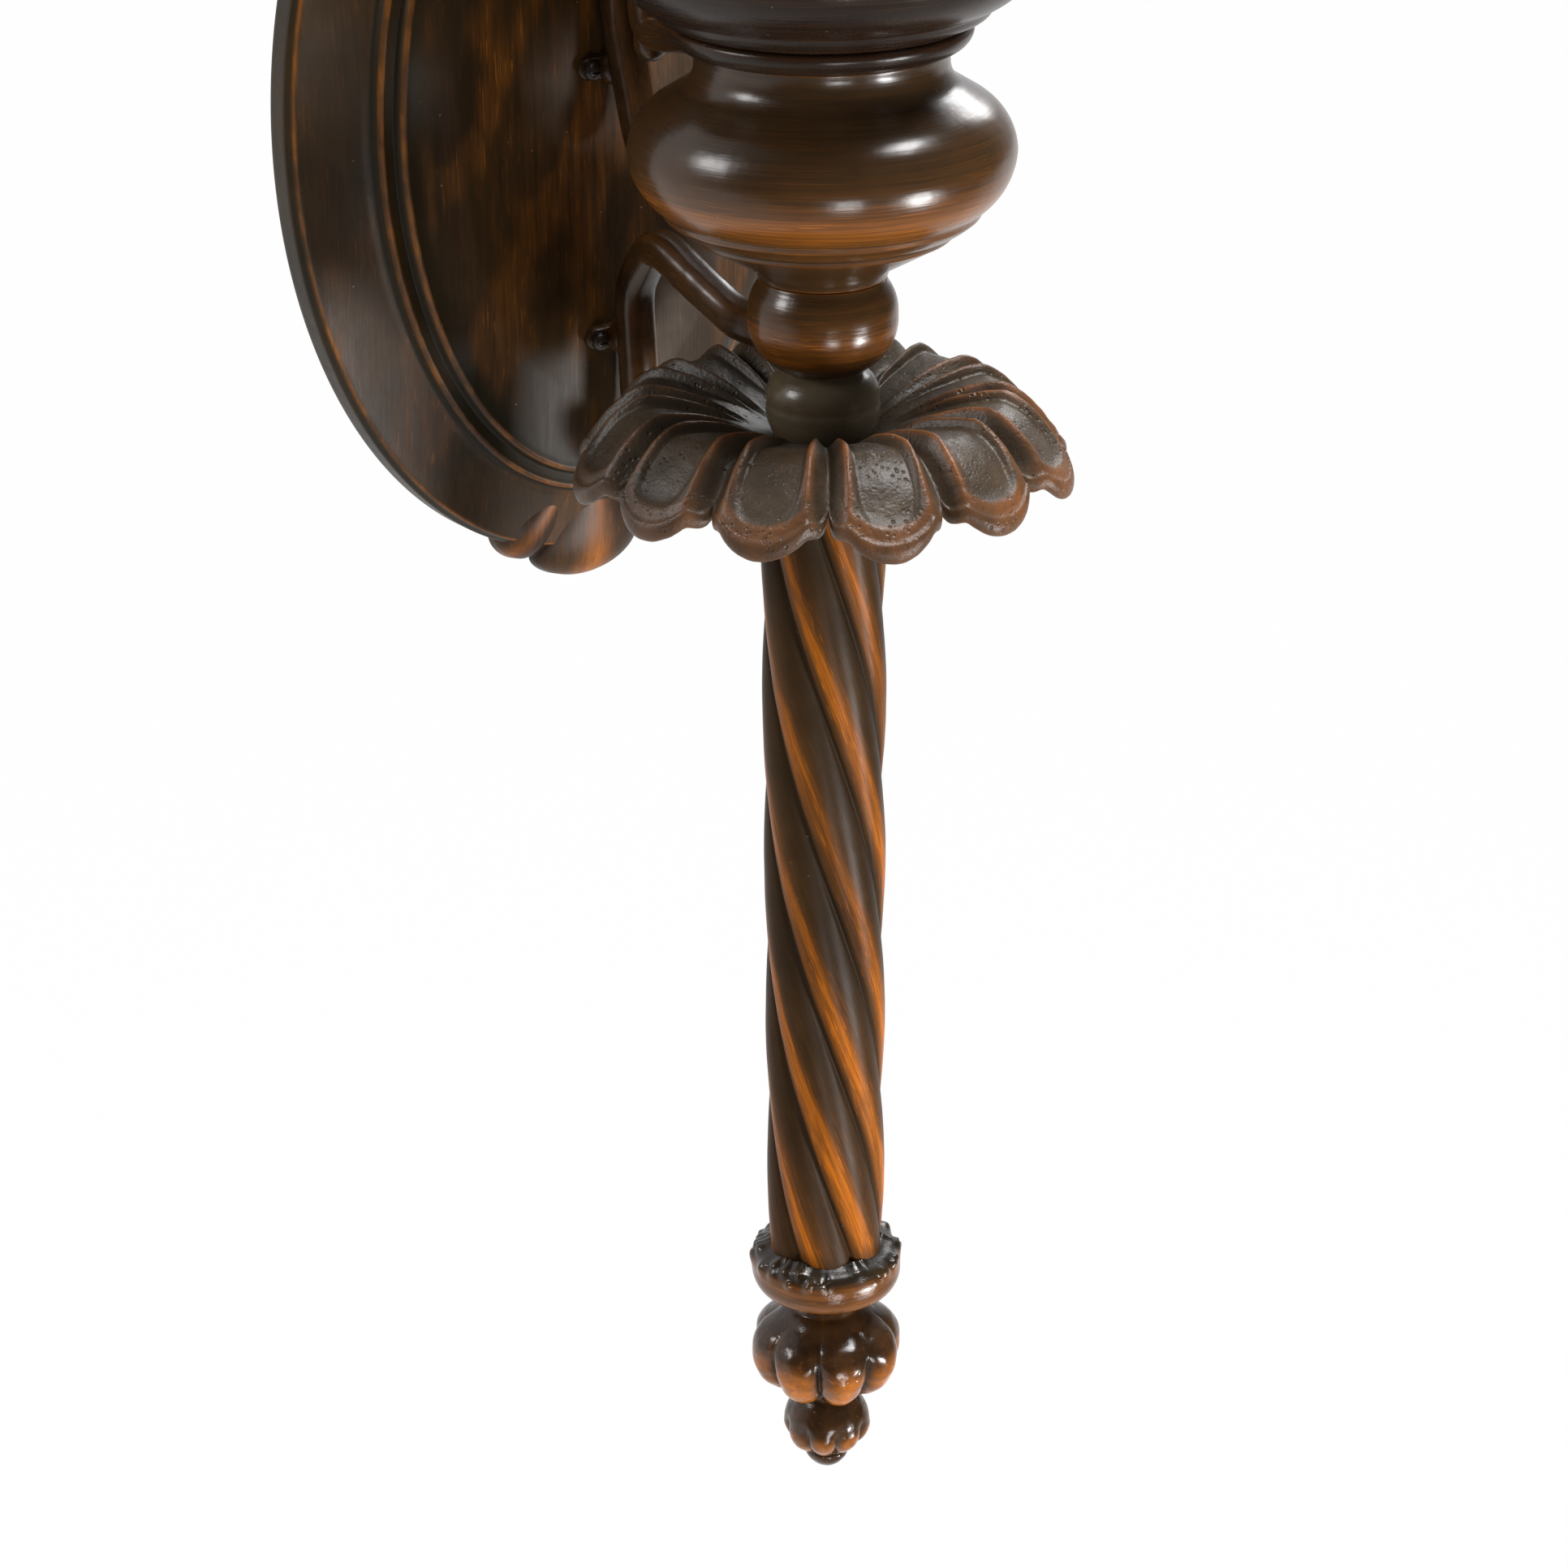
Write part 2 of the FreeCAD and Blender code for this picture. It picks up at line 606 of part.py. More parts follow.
def petal_point(across, along, drop, deep):
    """Point of a petal: across from -1 to 1 between valleys, along from 0 at the hub to 1 at the tip.

    The crest line rises from the hub and droops to the tip. Across it a sunken field lies between
    two ridges, and a valley parts each petal from the next. drop lowers the point for the underside,
    and deep scales the field and the ridges.
    """
    side = abs(across)
    hub = VALUE["collar_hub"]
    crest_radius = VALUE["collar_crest_radius"]
    crest = VALUE["collar_crest"]
    notch = VALUE["collar_notch"]
    edge = notch + (VALUE["collar_radius"] - notch) * math.cos(math.pi / 2 * side ** 1.6)
    radius = hub + (edge - hub) * along
    if radius < crest_radius:
        height = crest - VALUE["collar_cup"] * ((crest_radius - radius) / (crest_radius - hub)) ** 2
    else:
        reach = (radius - crest_radius) / (VALUE["collar_radius"] - crest_radius)
        height = crest - 27.0 * reach ** 1.8
    ridge = 0.60
    opening = min(1.0, along / 0.45)
    closing = min(1.0, max(0.0, (0.97 - along) / 0.22))
    if side < ridge:
        height -= 2.4 * deep * opening * closing * (0.5 + 0.5 * math.cos(math.pi * side / ridge)) ** 0.6
    else:
        fall = 0.5 - 0.5 * math.cos(math.pi * (side - ridge) / (1.0 - ridge))
        height -= 6.0 * math.sin(math.pi / 2 * min(1.0, along / 0.75)) * fall
    angle = math.radians(180.0 / VALUE["petal_count"] * across)
    return Vector(radius * math.cos(angle), radius * math.sin(angle), height - drop)


def petal_ribs(drop, deep):
    """Curves from hub to tip, side by side across one petal."""
    across = [-1.0, -0.82, -0.6, -0.36, 0.0, 0.36, 0.6, 0.82, 1.0]
    along = [0.0, 0.18, 0.36, 0.52, 0.68, 0.82, 0.93, 1.0]
    ribs = []
    for share in across:
        curve = Part.BSplineCurve()
        curve.interpolate([petal_point(share, way, drop, deep) for way in along])
        ribs.append(curve.toShape())
    return ribs


def petal_collar():
    """Cast collar of drooping petals: a closed skin of strips between the petals' ribs."""
    top = petal_ribs(0.0, 1.0)
    under = petal_ribs(VALUE["collar_thickness"], 0.25)
    strips = []
    for ribs in (top, under):
        strips += Part.makeLoft([Part.Wire(rib) for rib in ribs], False, True).Faces
    for end in (0, -1):
        rims = [Part.makePolygon([rib.Vertexes[end].Point for rib in ribs]) for ribs in (top, under)]
        strips += Part.makeLoft(rims, False, True).Faces
    faces = []
    count = int(VALUE["petal_count"])
    for index in range(count):
        turn = PETAL_TURN + 360.0 / count * (index + 0.5)
        for strip in strips:
            copy = strip.copy()
            copy.rotate(Vector(0, 0, 0), Vector(0, 0, 1), turn)
            faces.append(copy)
    skin = Part.Shell(faces)
    skin.sewShape()
    solid = Part.Solid(skin)
    if solid.Volume < 0:
        solid.reverse()
    return piece("petal_collar", solid, -VALUE["torch_reach"])


def twisted_shaft():
    """Shaft of round strands: the strands' section swept straight down while a long helix turns it."""
    low = VALUE["shaft_bottom"]
    length = VALUE["shaft_top"] - low
    count = int(VALUE["strand_count"])
    strand = VALUE["strand_radius"]
    centre_radius = VALUE["shaft_lobe"] - strand
    half = math.pi / count
    groove_radius = centre_radius * math.cos(half) + math.sqrt(
        strand ** 2 - (centre_radius * math.sin(half)) ** 2)

    def spot(radius, angle):
        return Vector(radius * math.cos(angle), radius * math.sin(angle), low)

    edges = []
    for index in range(count):
        start = math.radians(SHAFT_TURN) + 2 * half * index
        edges.append(Part.Arc(
            spot(groove_radius, start), spot(VALUE["shaft_lobe"], start + half),
            spot(groove_radius, start + 2 * half)).toShape())
    spine = Part.Wire(Part.LineSegment(Vector(0, 0, low), Vector(0, 0, low + length)).toShape())
    helix = Part.makeHelix(VALUE["twist_pitch"], length, VALUE["shaft_lobe"], 0, True)
    helix.translate(Vector(0, 0, low))
    sweep = Part.BRepOffsetAPI.MakePipeShell(spine)
    sweep.setAuxiliarySpine(Part.Wire(helix.Edges), True, 0)
    sweep.add(Part.Wire(edges))
    sweep.build()
    sweep.makeSolid()
    bore = Part.makeCylinder(VALUE["shaft_bore"], length + 2, Vector(0, 0, low - 1))
    return piece("twisted_shaft", sweep.shape().cut(bore), -VALUE["torch_reach"])


def shaft_ring():
    """Ring that closes the shaft's foot, with a socket for the strands."""
    low = size("ring_bottom")
    seat = size("shaft_bottom")
    return turned("shaft_ring", [
        (tube_hole(), low), (21.5, low), (24.6, low + 1.6, 0.7), (size("ring_radius"), low + 7.5, 0.7),
        (24.8, low + 14.0, 0.9), (20.6, low + 15.0, 0.4), (20.6, seat), (tube_hole(), seat),
    ])


def finial():
    """Two-tier lobed finial that screws up onto the tube."""
    top = size("ring_bottom")
    tip = size("finial_tip")
    body = turned("finial", [
        (0, tip), (4.6, tip + 5.0, 1.3), (5.6, tip + 11.0, 0.5), (8.6, tip + 19.0, 1.2),
        (7.4, tip + 29.0, 1.2), (9.5, tip + 32.0, -0.6), (18.0, tip + 44.0, 2.6), (11.5, tip + 63.0, 1.5),
        (9.8, tip + 68.0, -0.6), (12.0, top - 2.0, -0.6), (15.0, top, 0.8),
        (size("tube_radius"), top), (size("tube_radius"), top - 22.0), (0, top - 22.0),
    ])
    turning = body.Group[0]
    tiers = (
        ("upper_lobe", tip + 47.5, VALUE["finial_radius"] - 12.2, 12.2, 7.7, 13.4, 0.0),
        ("lower_lobe", tip + 19.5, 7.4, 7.8, 4.2, 7.6, 22.5),
    )
    for name, height, centre, radial, tangential, upright, turn in tiers:
        lobe = body.newObject("PartDesign::AdditiveEllipsoid", name)
        lobe.Radius2 = radial
        lobe.Radius3 = tangential
        lobe.Radius1 = upright
        angle = math.radians(PETAL_TURN + 15.0 + turn)
        lobe.AttachmentOffset = FreeCAD.Placement(
            Vector(centre * math.cos(angle), centre * math.sin(angle), height.value),
            FreeCAD.Rotation(Vector(0, 0, 1), math.degrees(angle)))
        lobe.AttachmentSupport = (origin_plane(body, "XY_Plane"), [""])
        lobe.MapMode = "FlatFace"
        body.Tip = lobe
        ring_pattern(body, name + "s", lobe, VALUE["finial_lobes"], turning)
    return body


def centre_tube():
    """Threaded tube that clamps the torch together, from the finial to the lampholder."""
    bottom = size("ring_bottom") - 20.0
    top = size("cup_bottom") + 18.0
    return turned("centre_tube", [
        (3.6, bottom), (size("tube_radius"), bottom), (size("tube_radius"), top), (3.6, top),
    ])


def tube_washer():
    """Flat washer on the cup's floor."""
    seat = size("cup_bottom") + 5.0
    return turned("tube_washer", [
        (tube_hole(), seat), (15.0, seat), (15.0, seat + 1.6), (tube_hole(), seat + 1.6),
    ])


def tube_nut():
    """Hexagon nut that draws the stack together inside the cup."""
    seat = VALUE["cup_bottom"] + 6.6
    corners = [
        Vector(9.0 * math.cos(math.radians(60 * k)), 9.0 * math.sin(math.radians(60 * k)), seat)
        for k in range(7)
    ]
    nut = Part.Face(Part.makePolygon(corners)).extrude(Vector(0, 0, 5.0))
    hole = Part.makeCylinder(tube_hole().value, 20, Vector(0, 0, seat - 5))
    return piece("tube_nut", nut.cut(hole), -VALUE["torch_reach"])


def lampholder():
    """Open socket on top of the tube that takes the lamp's screw cap."""
    low = size("cup_bottom") + 11.6
    return turned("lampholder", [
        (tube_hole(), low), (13.0, low), (17.5, low + 6.0, 1.2), (17.5, low + 36.0), (16.9, low + 37.0),
        (14.4, low + 37.0), (14.4, low + 9.0), (tube_hole(), low + 9.0),
    ])


def lamp_cap():
    """Screw cap of the lamp, with its contact."""
    low = size("cup_bottom") + 24.0
    return turned("lamp_cap", [
        (0, low), (4.5, low), (9.0, low + 3.0), (13.2, low + 5.0), (13.2, low + 26.0), (0, low + 26.0),
    ])


def lamp_bulb():
    """Pear-shaped glass bulb."""
    low = size("cup_bottom") + 50.0
    belly = size("bulb_radius")
    return turned("lamp_bulb", [
        (0, low), (13.0, low), (16.5, low + 14.0, -0.6), (belly, low + 46.0, 1.6),
        (20.5, low + 66.5, 2.2), (2.0, low + 75.0, 1.9), (0, low + 75.0),
    ])


def check(parts):
    """Stop unless every object is sound and every piece is a valid solid."""
    for item in DOC.Objects:
        if "Invalid" in item.State or "Error" in item.State:
            raise RuntimeError(f"{item.Label} failed: {item.State}")
    for part in parts:
        shape = part.Shape
        if shape.isNull() or not shape.isValid() or not shape.Solids:
            raise RuntimeError(f"{part.Label} is not a valid solid")
        print(f"{part.Label:20s} solids {len(shape.Solids)} volume {shape.Volume / 1000:8.1f} cm3")


def main():
    """Build every piece, check it and write it."""
    make_sheet()
    parts = [make() for make in (
        wall_strap, plate_studs, acorn_nuts, ground_screw, backplate,
        upper_arm, lower_arm, arm_screws,
        glass_shade, lamp_bulb, lamp_cap, lampholder, cup, neck_bead, urn, ball_knop, small_ball,
        petal_collar, twisted_shaft, shaft_ring, finial, centre_tube, tube_washer, tube_nut,
    )]
    DOC.recompute()
    check(parts)
    os.makedirs("parts", exist_ok=True)
    for part in parts:
        part.Shape.exportStep(f"parts/{part.Label}.step")


main()
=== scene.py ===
"""Torch wall light, dressed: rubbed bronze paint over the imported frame.

Lengths in the shape functions are millimetres and are turned into metres when a mesh is made.
"""
import math

import bmesh
import bpy
import numpy as np
from mathutils import Matrix, Vector


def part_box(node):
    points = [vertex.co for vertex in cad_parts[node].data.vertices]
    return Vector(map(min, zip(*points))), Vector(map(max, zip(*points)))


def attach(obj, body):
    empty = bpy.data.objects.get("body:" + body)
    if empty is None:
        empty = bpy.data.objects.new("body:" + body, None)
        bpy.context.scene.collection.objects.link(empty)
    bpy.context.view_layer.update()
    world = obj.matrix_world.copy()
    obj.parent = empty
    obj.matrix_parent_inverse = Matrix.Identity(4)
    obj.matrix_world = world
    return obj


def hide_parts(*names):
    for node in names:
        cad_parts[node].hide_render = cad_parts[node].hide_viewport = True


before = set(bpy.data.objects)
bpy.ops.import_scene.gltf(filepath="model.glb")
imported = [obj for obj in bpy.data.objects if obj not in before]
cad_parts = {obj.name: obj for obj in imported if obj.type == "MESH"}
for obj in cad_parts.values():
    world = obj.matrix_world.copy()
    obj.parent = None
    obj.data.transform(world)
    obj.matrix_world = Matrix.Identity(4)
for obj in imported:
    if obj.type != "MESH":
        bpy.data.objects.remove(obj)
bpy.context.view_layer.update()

bl_info = {
    "name": "Torch wall light",
    "version": (1, 0, 0),
    "blender": (4, 5, 0),
    "location": "View3D > Sidebar > Wall Light",
    "description": "Builds the pieces and finishes of a torch wall light round its CAD frame",
    "category": "Object",
}

SHAFT_LOW, SHAFT_HIGH = (corner * 1000.0 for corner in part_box("twisted_shaft"))
AXIS_Y = (SHAFT_LOW.y + SHAFT_HIGH.y) / 2
NOTCH_TURN = math.radians(-128.0)  # direction of the petals' notch that faces the camera
FULL = 2 * math.pi

# Heights and radii of the turned stack, in mm: each piece ends where the next begins
BORE = 5.1
CUP_TOP, CUP_BASE = 94.0, 50.0
URN_TOP, URN_LOW = 42.5, -30.0
BALL_LOW, SMALL_BALL_LOW = -59.7, -87.5
FINIAL_TOP, FINIAL_LOW = -397.0, -474.0
SHADE_TOP, SHADE_LOW, SHADE_WALL = 244.0, 70.0, 3.2
PLATE_HALF_WIDTH, PLATE_HALF_HEIGHT, SHELL_ROOT = 113.0, 157.0, -112.0
PETAL_HUB, PETAL_CREST, PETAL_REACH = 13.6, 56.0, 78.5
SHAFT_RADIUS, STRAND_RADIUS = 20.4, 11.0

# Camera and lamps: metres, degrees and watts
CAMERA_PLACE, CAMERA_LENS = (-0.6952, -1.0080, 0.3000), 84.41
CAMERA_YAW, CAMERA_PITCH, CAMERA_ROLL = 38.0, 24.4, 0.49
LAMP_DISTANCE = 2.3
LAMPS = (  # name, azimuth, elevation, width, power
    ("front_right_low", 23, -28, 0.50, 46.0), ("front_left_low", -24, -31, 0.50, 14.0),
    ("top_right", 50, 62, 0.60, 54.0), ("top_front", 45, 80, 0.80, 66.0),
    ("back_left", -112, 28, 0.70, 24.0), ("back_right", 116, 26, 0.70, 15.0),
)
FLOOR_SIZE, FLOOR_LEVEL = 12.0, -1.7
WHITE = (1, 1, 1, 1)


# Curves and grids


def rounded(outline, soft=0.5, step=0.25, closed=True):
    """Points along a polyline of (across, along, sag) steps, with its corners softened.

    Each step's sag bows its run to the right of the way of travel, as a circular arc. The runs are
    sampled every step millimetres, and the whole is blurred along its length by soft millimetres.
    """
    knots = np.array([row[:2] for row in outline], float)
    sags = [row[2] if len(row) > 2 else 0.0 for row in outline]
    runs = []
    for index in range(0 if closed else 1, len(knots)):
        start, end, sag = knots[index - 1], knots[index], sags[index]
        chord = end - start
        length = np.hypot(*chord)
        count = max(2, int(round(length / step)))
        share = np.arange(1, count + 1) / count
        run = start + chord * share[:, None]
        if sag:
            radius = (length ** 2 / 4 + sag ** 2) / (2 * abs(sag))
            reach = (share - 0.5) * length
            bow = np.sqrt(np.maximum(radius ** 2 - reach ** 2, 0)) - (radius - abs(sag))
            side = np.array([chord[1], -chord[0]]) / length
            run = run + side * (bow * np.sign(sag))[:, None]
        runs.append(run)
    points = np.concatenate(runs if closed else [knots[:1], *runs])
    spread = soft / step
    if spread < 0.2:
        return points
    half = int(math.ceil(3 * spread))
    weight = np.exp(-0.5 * (np.arange(-half, half + 1) / spread) ** 2)
    weight /= weight.sum()
    padded = np.pad(points, ((half, half), (0, 0)), mode="wrap" if closed else "edge")
    soft_points = np.stack([np.convolve(padded[:, k], weight, "valid") for k in (0, 1)], 1)
    if not closed:
        soft_points[0], soft_points[-1] = points[0], points[-1]
    return soft_points


def spaced(points, count, closed=True, fine=2.5):
    """Resample a plane curve to count points that stand closer where it bends more."""
    loop = np.vstack([points, points[:1]]) if closed else points
    run = np.diff(loop, axis=0)
    length = np.hypot(run[:, 0], run[:, 1]) + 1e-9
    heading = np.unwrap(np.arctan2(run[:, 1], run[:, 0]))
    turn = np.abs(np.gradient(heading))
    weight = length + fine * turn
    travelled = np.concatenate([[0.0], np.cumsum(weight)])
    targets = np.linspace(0, travelled[-1], count + 1 if closed else count)
    if closed:
        targets = targets[:-1]
    return np.stack([np.interp(targets, travelled, loop[:, k]) for k in (0, 1)], 1)


def bend(line, closed):
    """Signed curvature of a plane curve in 1/mm: turn of heading over length, left turns positive."""
    if closed:
        before, after = np.roll(line, 1, 0), np.roll(line, -1, 0)
    else:
        before = np.vstack([line[:1], line[:-1]])
        after = np.vstack([line[1:], line[-1:]])
    first, second = line - before, after - line
    cross = first[:, 0] * second[:, 1] - first[:, 1] * second[:, 0]
    dot = (first * second).sum(1)
    length = (np.hypot(*first.T) + np.hypot(*second.T)) / 2 + 1e-9
    return np.arctan2(cross, dot + 1e-12) / length


def step_up(value, low, high):
    """Smooth step from 0 at low to 1 at high: 3t^2 - 2t^3."""
    share = np.clip((value - low) / (high - low), 0, 1)
    return share * share * (3 - 2 * share)


def waves(place, seed, size, octaves=3):
    """Smooth random field from -1 to 1: a sum of sine waves of random heading, finer and weaker by octave."""
    draw = np.random.default_rng(seed)
    total = np.zeros(place.shape[:-1])
    weight = 0.0
    for octave in range(octaves):
        for _ in range(6):
            heading = draw.normal(size=3)
            heading /= np.linalg.norm(heading)
            phase = draw.uniform(0, FULL)
            pace = FULL / size * 2 ** octave * draw.uniform(0.7, 1.4)
            total += np.sin((place @ heading) * pace + phase) * 0.5 ** octave
            weight += 0.5 ** octave
    return total / math.sqrt(weight) / 1.6


def travelled_along(line):
    """Length travelled along a line up to each of its points."""
    return np.concatenate([[0], np.cumsum(np.hypot(*np.diff(line, axis=0).T))])


def full_turn(count):
    """Angles of count points round a full turn."""
    return np.arange(count) / count * FULL


def stacked(x, y, z):
    """Vectors from three arrays that broadcast together."""
    return np.stack(np.broadcast_arrays(x, y, z), -1)


def about_axis(turn, radius, height):
    """Points round the torch axis: x = r cos a, y = axis + r sin a, z = height."""
    return stacked(np.cos(turn) * radius, AXIS_Y + np.sin(turn) * radius, height)


def unrolled(turn, radius, along):
    """Flow vectors round a turned piece, (r cos a, r sin a, along), with one radius for the whole piece."""
    return stacked(np.cos(turn)[:, None] * radius, np.sin(turn)[:, None] * radius, along)


def make_piece(name, material, grid, flow, masks, wrap=(True, True), body="sconce", slot="bronzed_casting",
               replaces=()):
    """A closed smooth mesh from a grid of points, with its finish, brush direction, and masks of wear and
    painted shade.

    grid is (around, along, 3) in millimetres in the row frame. wrap says which way the grid closes on
    itself. flow is a vector per point that the brush marks follow, in millimetres, and each mask is a
    number per point.
    """
    around, along = grid.shape[:2]
    rows = np.arange(around if wrap[0] else around - 1)
    columns = np.arange(along if wrap[1] else along - 1)
    row, column = np.meshgrid(rows, columns, indexing="ij")
    next_row, next_column = (row + 1) % around, (column + 1) % along
    faces = np.stack([row * along + column, next_row * along + column,
                      next_row * along + next_column, row * along + next_column], -1).reshape(-1, 4)
    points = grid.reshape(-1, 3) / 1000.0
    corner = points[faces]
    volume = np.einsum("ij,ij->i", corner[:, 0], np.cross(corner[:, 1], corner[:, 2])).sum()
    volume += np.einsum("ij,ij->i", corner[:, 0], np.cross(corner[:, 2], corner[:, 3])).sum()
    if volume < 0:
        faces = faces[:, ::-1]
    mesh = bpy.data.meshes.new(name)
    mesh.vertices.add(len(points))
    mesh.vertices.foreach_set("co", points.ravel())
    mesh.loops.add(faces.size)
    mesh.loops.foreach_set("vertex_index", faces.ravel().astype(np.int32))
    mesh.polygons.add(len(faces))
    mesh.polygons.foreach_set("loop_start", np.arange(0, faces.size, 4, dtype=np.int32))
    mesh.update(calc_edges=True)
    stroke = mesh.attributes.new("flow", "FLOAT_VECTOR", "POINT")
    stroke.data.foreach_set("vector", (flow.reshape(-1, 3) / 1000.0).ravel())
    for label in ("ridge", "hollow", "rub"):
        values = np.broadcast_to(masks.get(label, 0.0), grid.shape[:2])
        mesh.attributes.new(label, "FLOAT", "POINT").data.foreach_set(
            "value", np.ascontiguousarray(values, dtype=np.float32).ravel())
    merge = bmesh.new()
    merge.from_mesh(mesh)
    bmesh.ops.remove_doubles(merge, verts=merge.verts, dist=1e-6)
    bmesh.ops.dissolve_degenerate(merge, edges=merge.edges, dist=1e-7)
    merge.to_mesh(mesh)
    merge.free()
    mesh.polygons.foreach_set("use_smooth", np.ones(len(mesh.polygons), dtype=bool))
    mesh.update()
    made = bpy.data.objects.new(name, mesh)
    bpy.context.scene.collection.objects.link(made)
    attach(made, body)
    if replaces:
        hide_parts(*replaces)
    dress(made, material)


def lathe(outline, count, around, edge=(0.25, 1.0)):
    """Surface of revolution about the torch axis.

    The softened outline (r, z) is turned: x = r cos a, y = axis + r sin a. The ridge mask is the
    outline's convex curvature between the two edge values in 1/mm, and its concave curvature is the mask of
    painted shade in the creases.
    """
    line = spaced(rounded(outline), count)
    turn = full_turn(around)
    grid = about_axis(turn[:, None], line[:, 0], line[:, 1])
    curve = bend(line, True)
    masks = {"ridge": step_up(curve, *edge), "hollow": step_up(-curve, *edge)}
    return grid, unrolled(turn, 30, travelled_along(line)), masks


def band(height, middle, width):
    """Bell over height: exp(-((z - middle) / width)^2)."""
    return np.exp(-((height - middle) / width) ** 2)


# Node helpers


def add_node(tree, kind, inputs=None, **settings):
    """A node with its settings, and its inputs linked or filled in."""
    made = tree.nodes.new(kind)
    for name, value in settings.items():
        setattr(made, name, value)
    fill_in(tree, made, inputs or {})
    return made


def fill_in(tree, node, inputs):
    """Link or set a node's inputs: a socket is linked, and any other value is set on the input."""
    for key, value in inputs.items():
        if isinstance(value, bpy.types.NodeSocket):
            tree.links.new(value, node.inputs[key])
        else:
            node.inputs[key].default_value = value


def maths(tree, operation, first, second=0.0, third=0.0, clamp=False):
    """Result of a Math node."""
    return add_node(tree, "ShaderNodeMath", {0: first, 1: second, 2: third},
                    operation=operation, use_clamp=clamp).outputs[0]


def blend_colour(tree, share, first, second):
    """Mix two colours."""
    return add_node(tree, "ShaderNodeMix", {0: share, 6: first, 7: second}, data_type="RGBA").outputs[2]


def noise(tree, vector, scale, detail=2.0, rough=0.5):
    """Fractal noise from 0 to 1."""
    return add_node(tree, "ShaderNodeTexNoise",
                    {"Vector": vector, "Scale": scale, "Detail": detail, "Roughness": rough}).outputs[0]


def spread(tree, value, low, high, to_low=0.0, to_high=1.0):
    """Map a value from low..high to to_low..to_high, held at both ends."""
    return add_node(tree, "ShaderNodeMapRange", {0: value, 1: low, 2: high, 3: to_low, 4: to_high}).outputs[0]


def new_material(name):
    """A node material, its tree, its shader and its Object coordinates."""
    material = bpy.data.materials.new(name)
    material.use_nodes = True
    tree = material.node_tree
    place = add_node(tree, "ShaderNodeTexCoord").outputs["Object"]
    return material, tree, tree.nodes["Principled BSDF"], place


def bumped(tree, height, strength, distance):
    """Normal of a Bump node."""
    return add_node(tree, "ShaderNodeBump",
                    {"Strength": strength, "Distance": distance, "Height": height}).outputs[0]


def new_group(name, inputs, outputs):
    """A shader node group with named sockets, and its input and output nodes."""
    tree = bpy.data.node_groups.new(name, "ShaderNodeTree")
    for label, kind, value in inputs:
        socket = tree.interface.new_socket(label, in_out="INPUT", socket_type=kind)
        if value is not None:
            socket.default_value = value
    for label, kind in outputs:
        tree.interface.new_socket(label, in_out="OUTPUT", socket_type=kind)
    return tree, tree.nodes.new("NodeGroupInput").outputs, tree.nodes.new("NodeGroupOutput").inputs


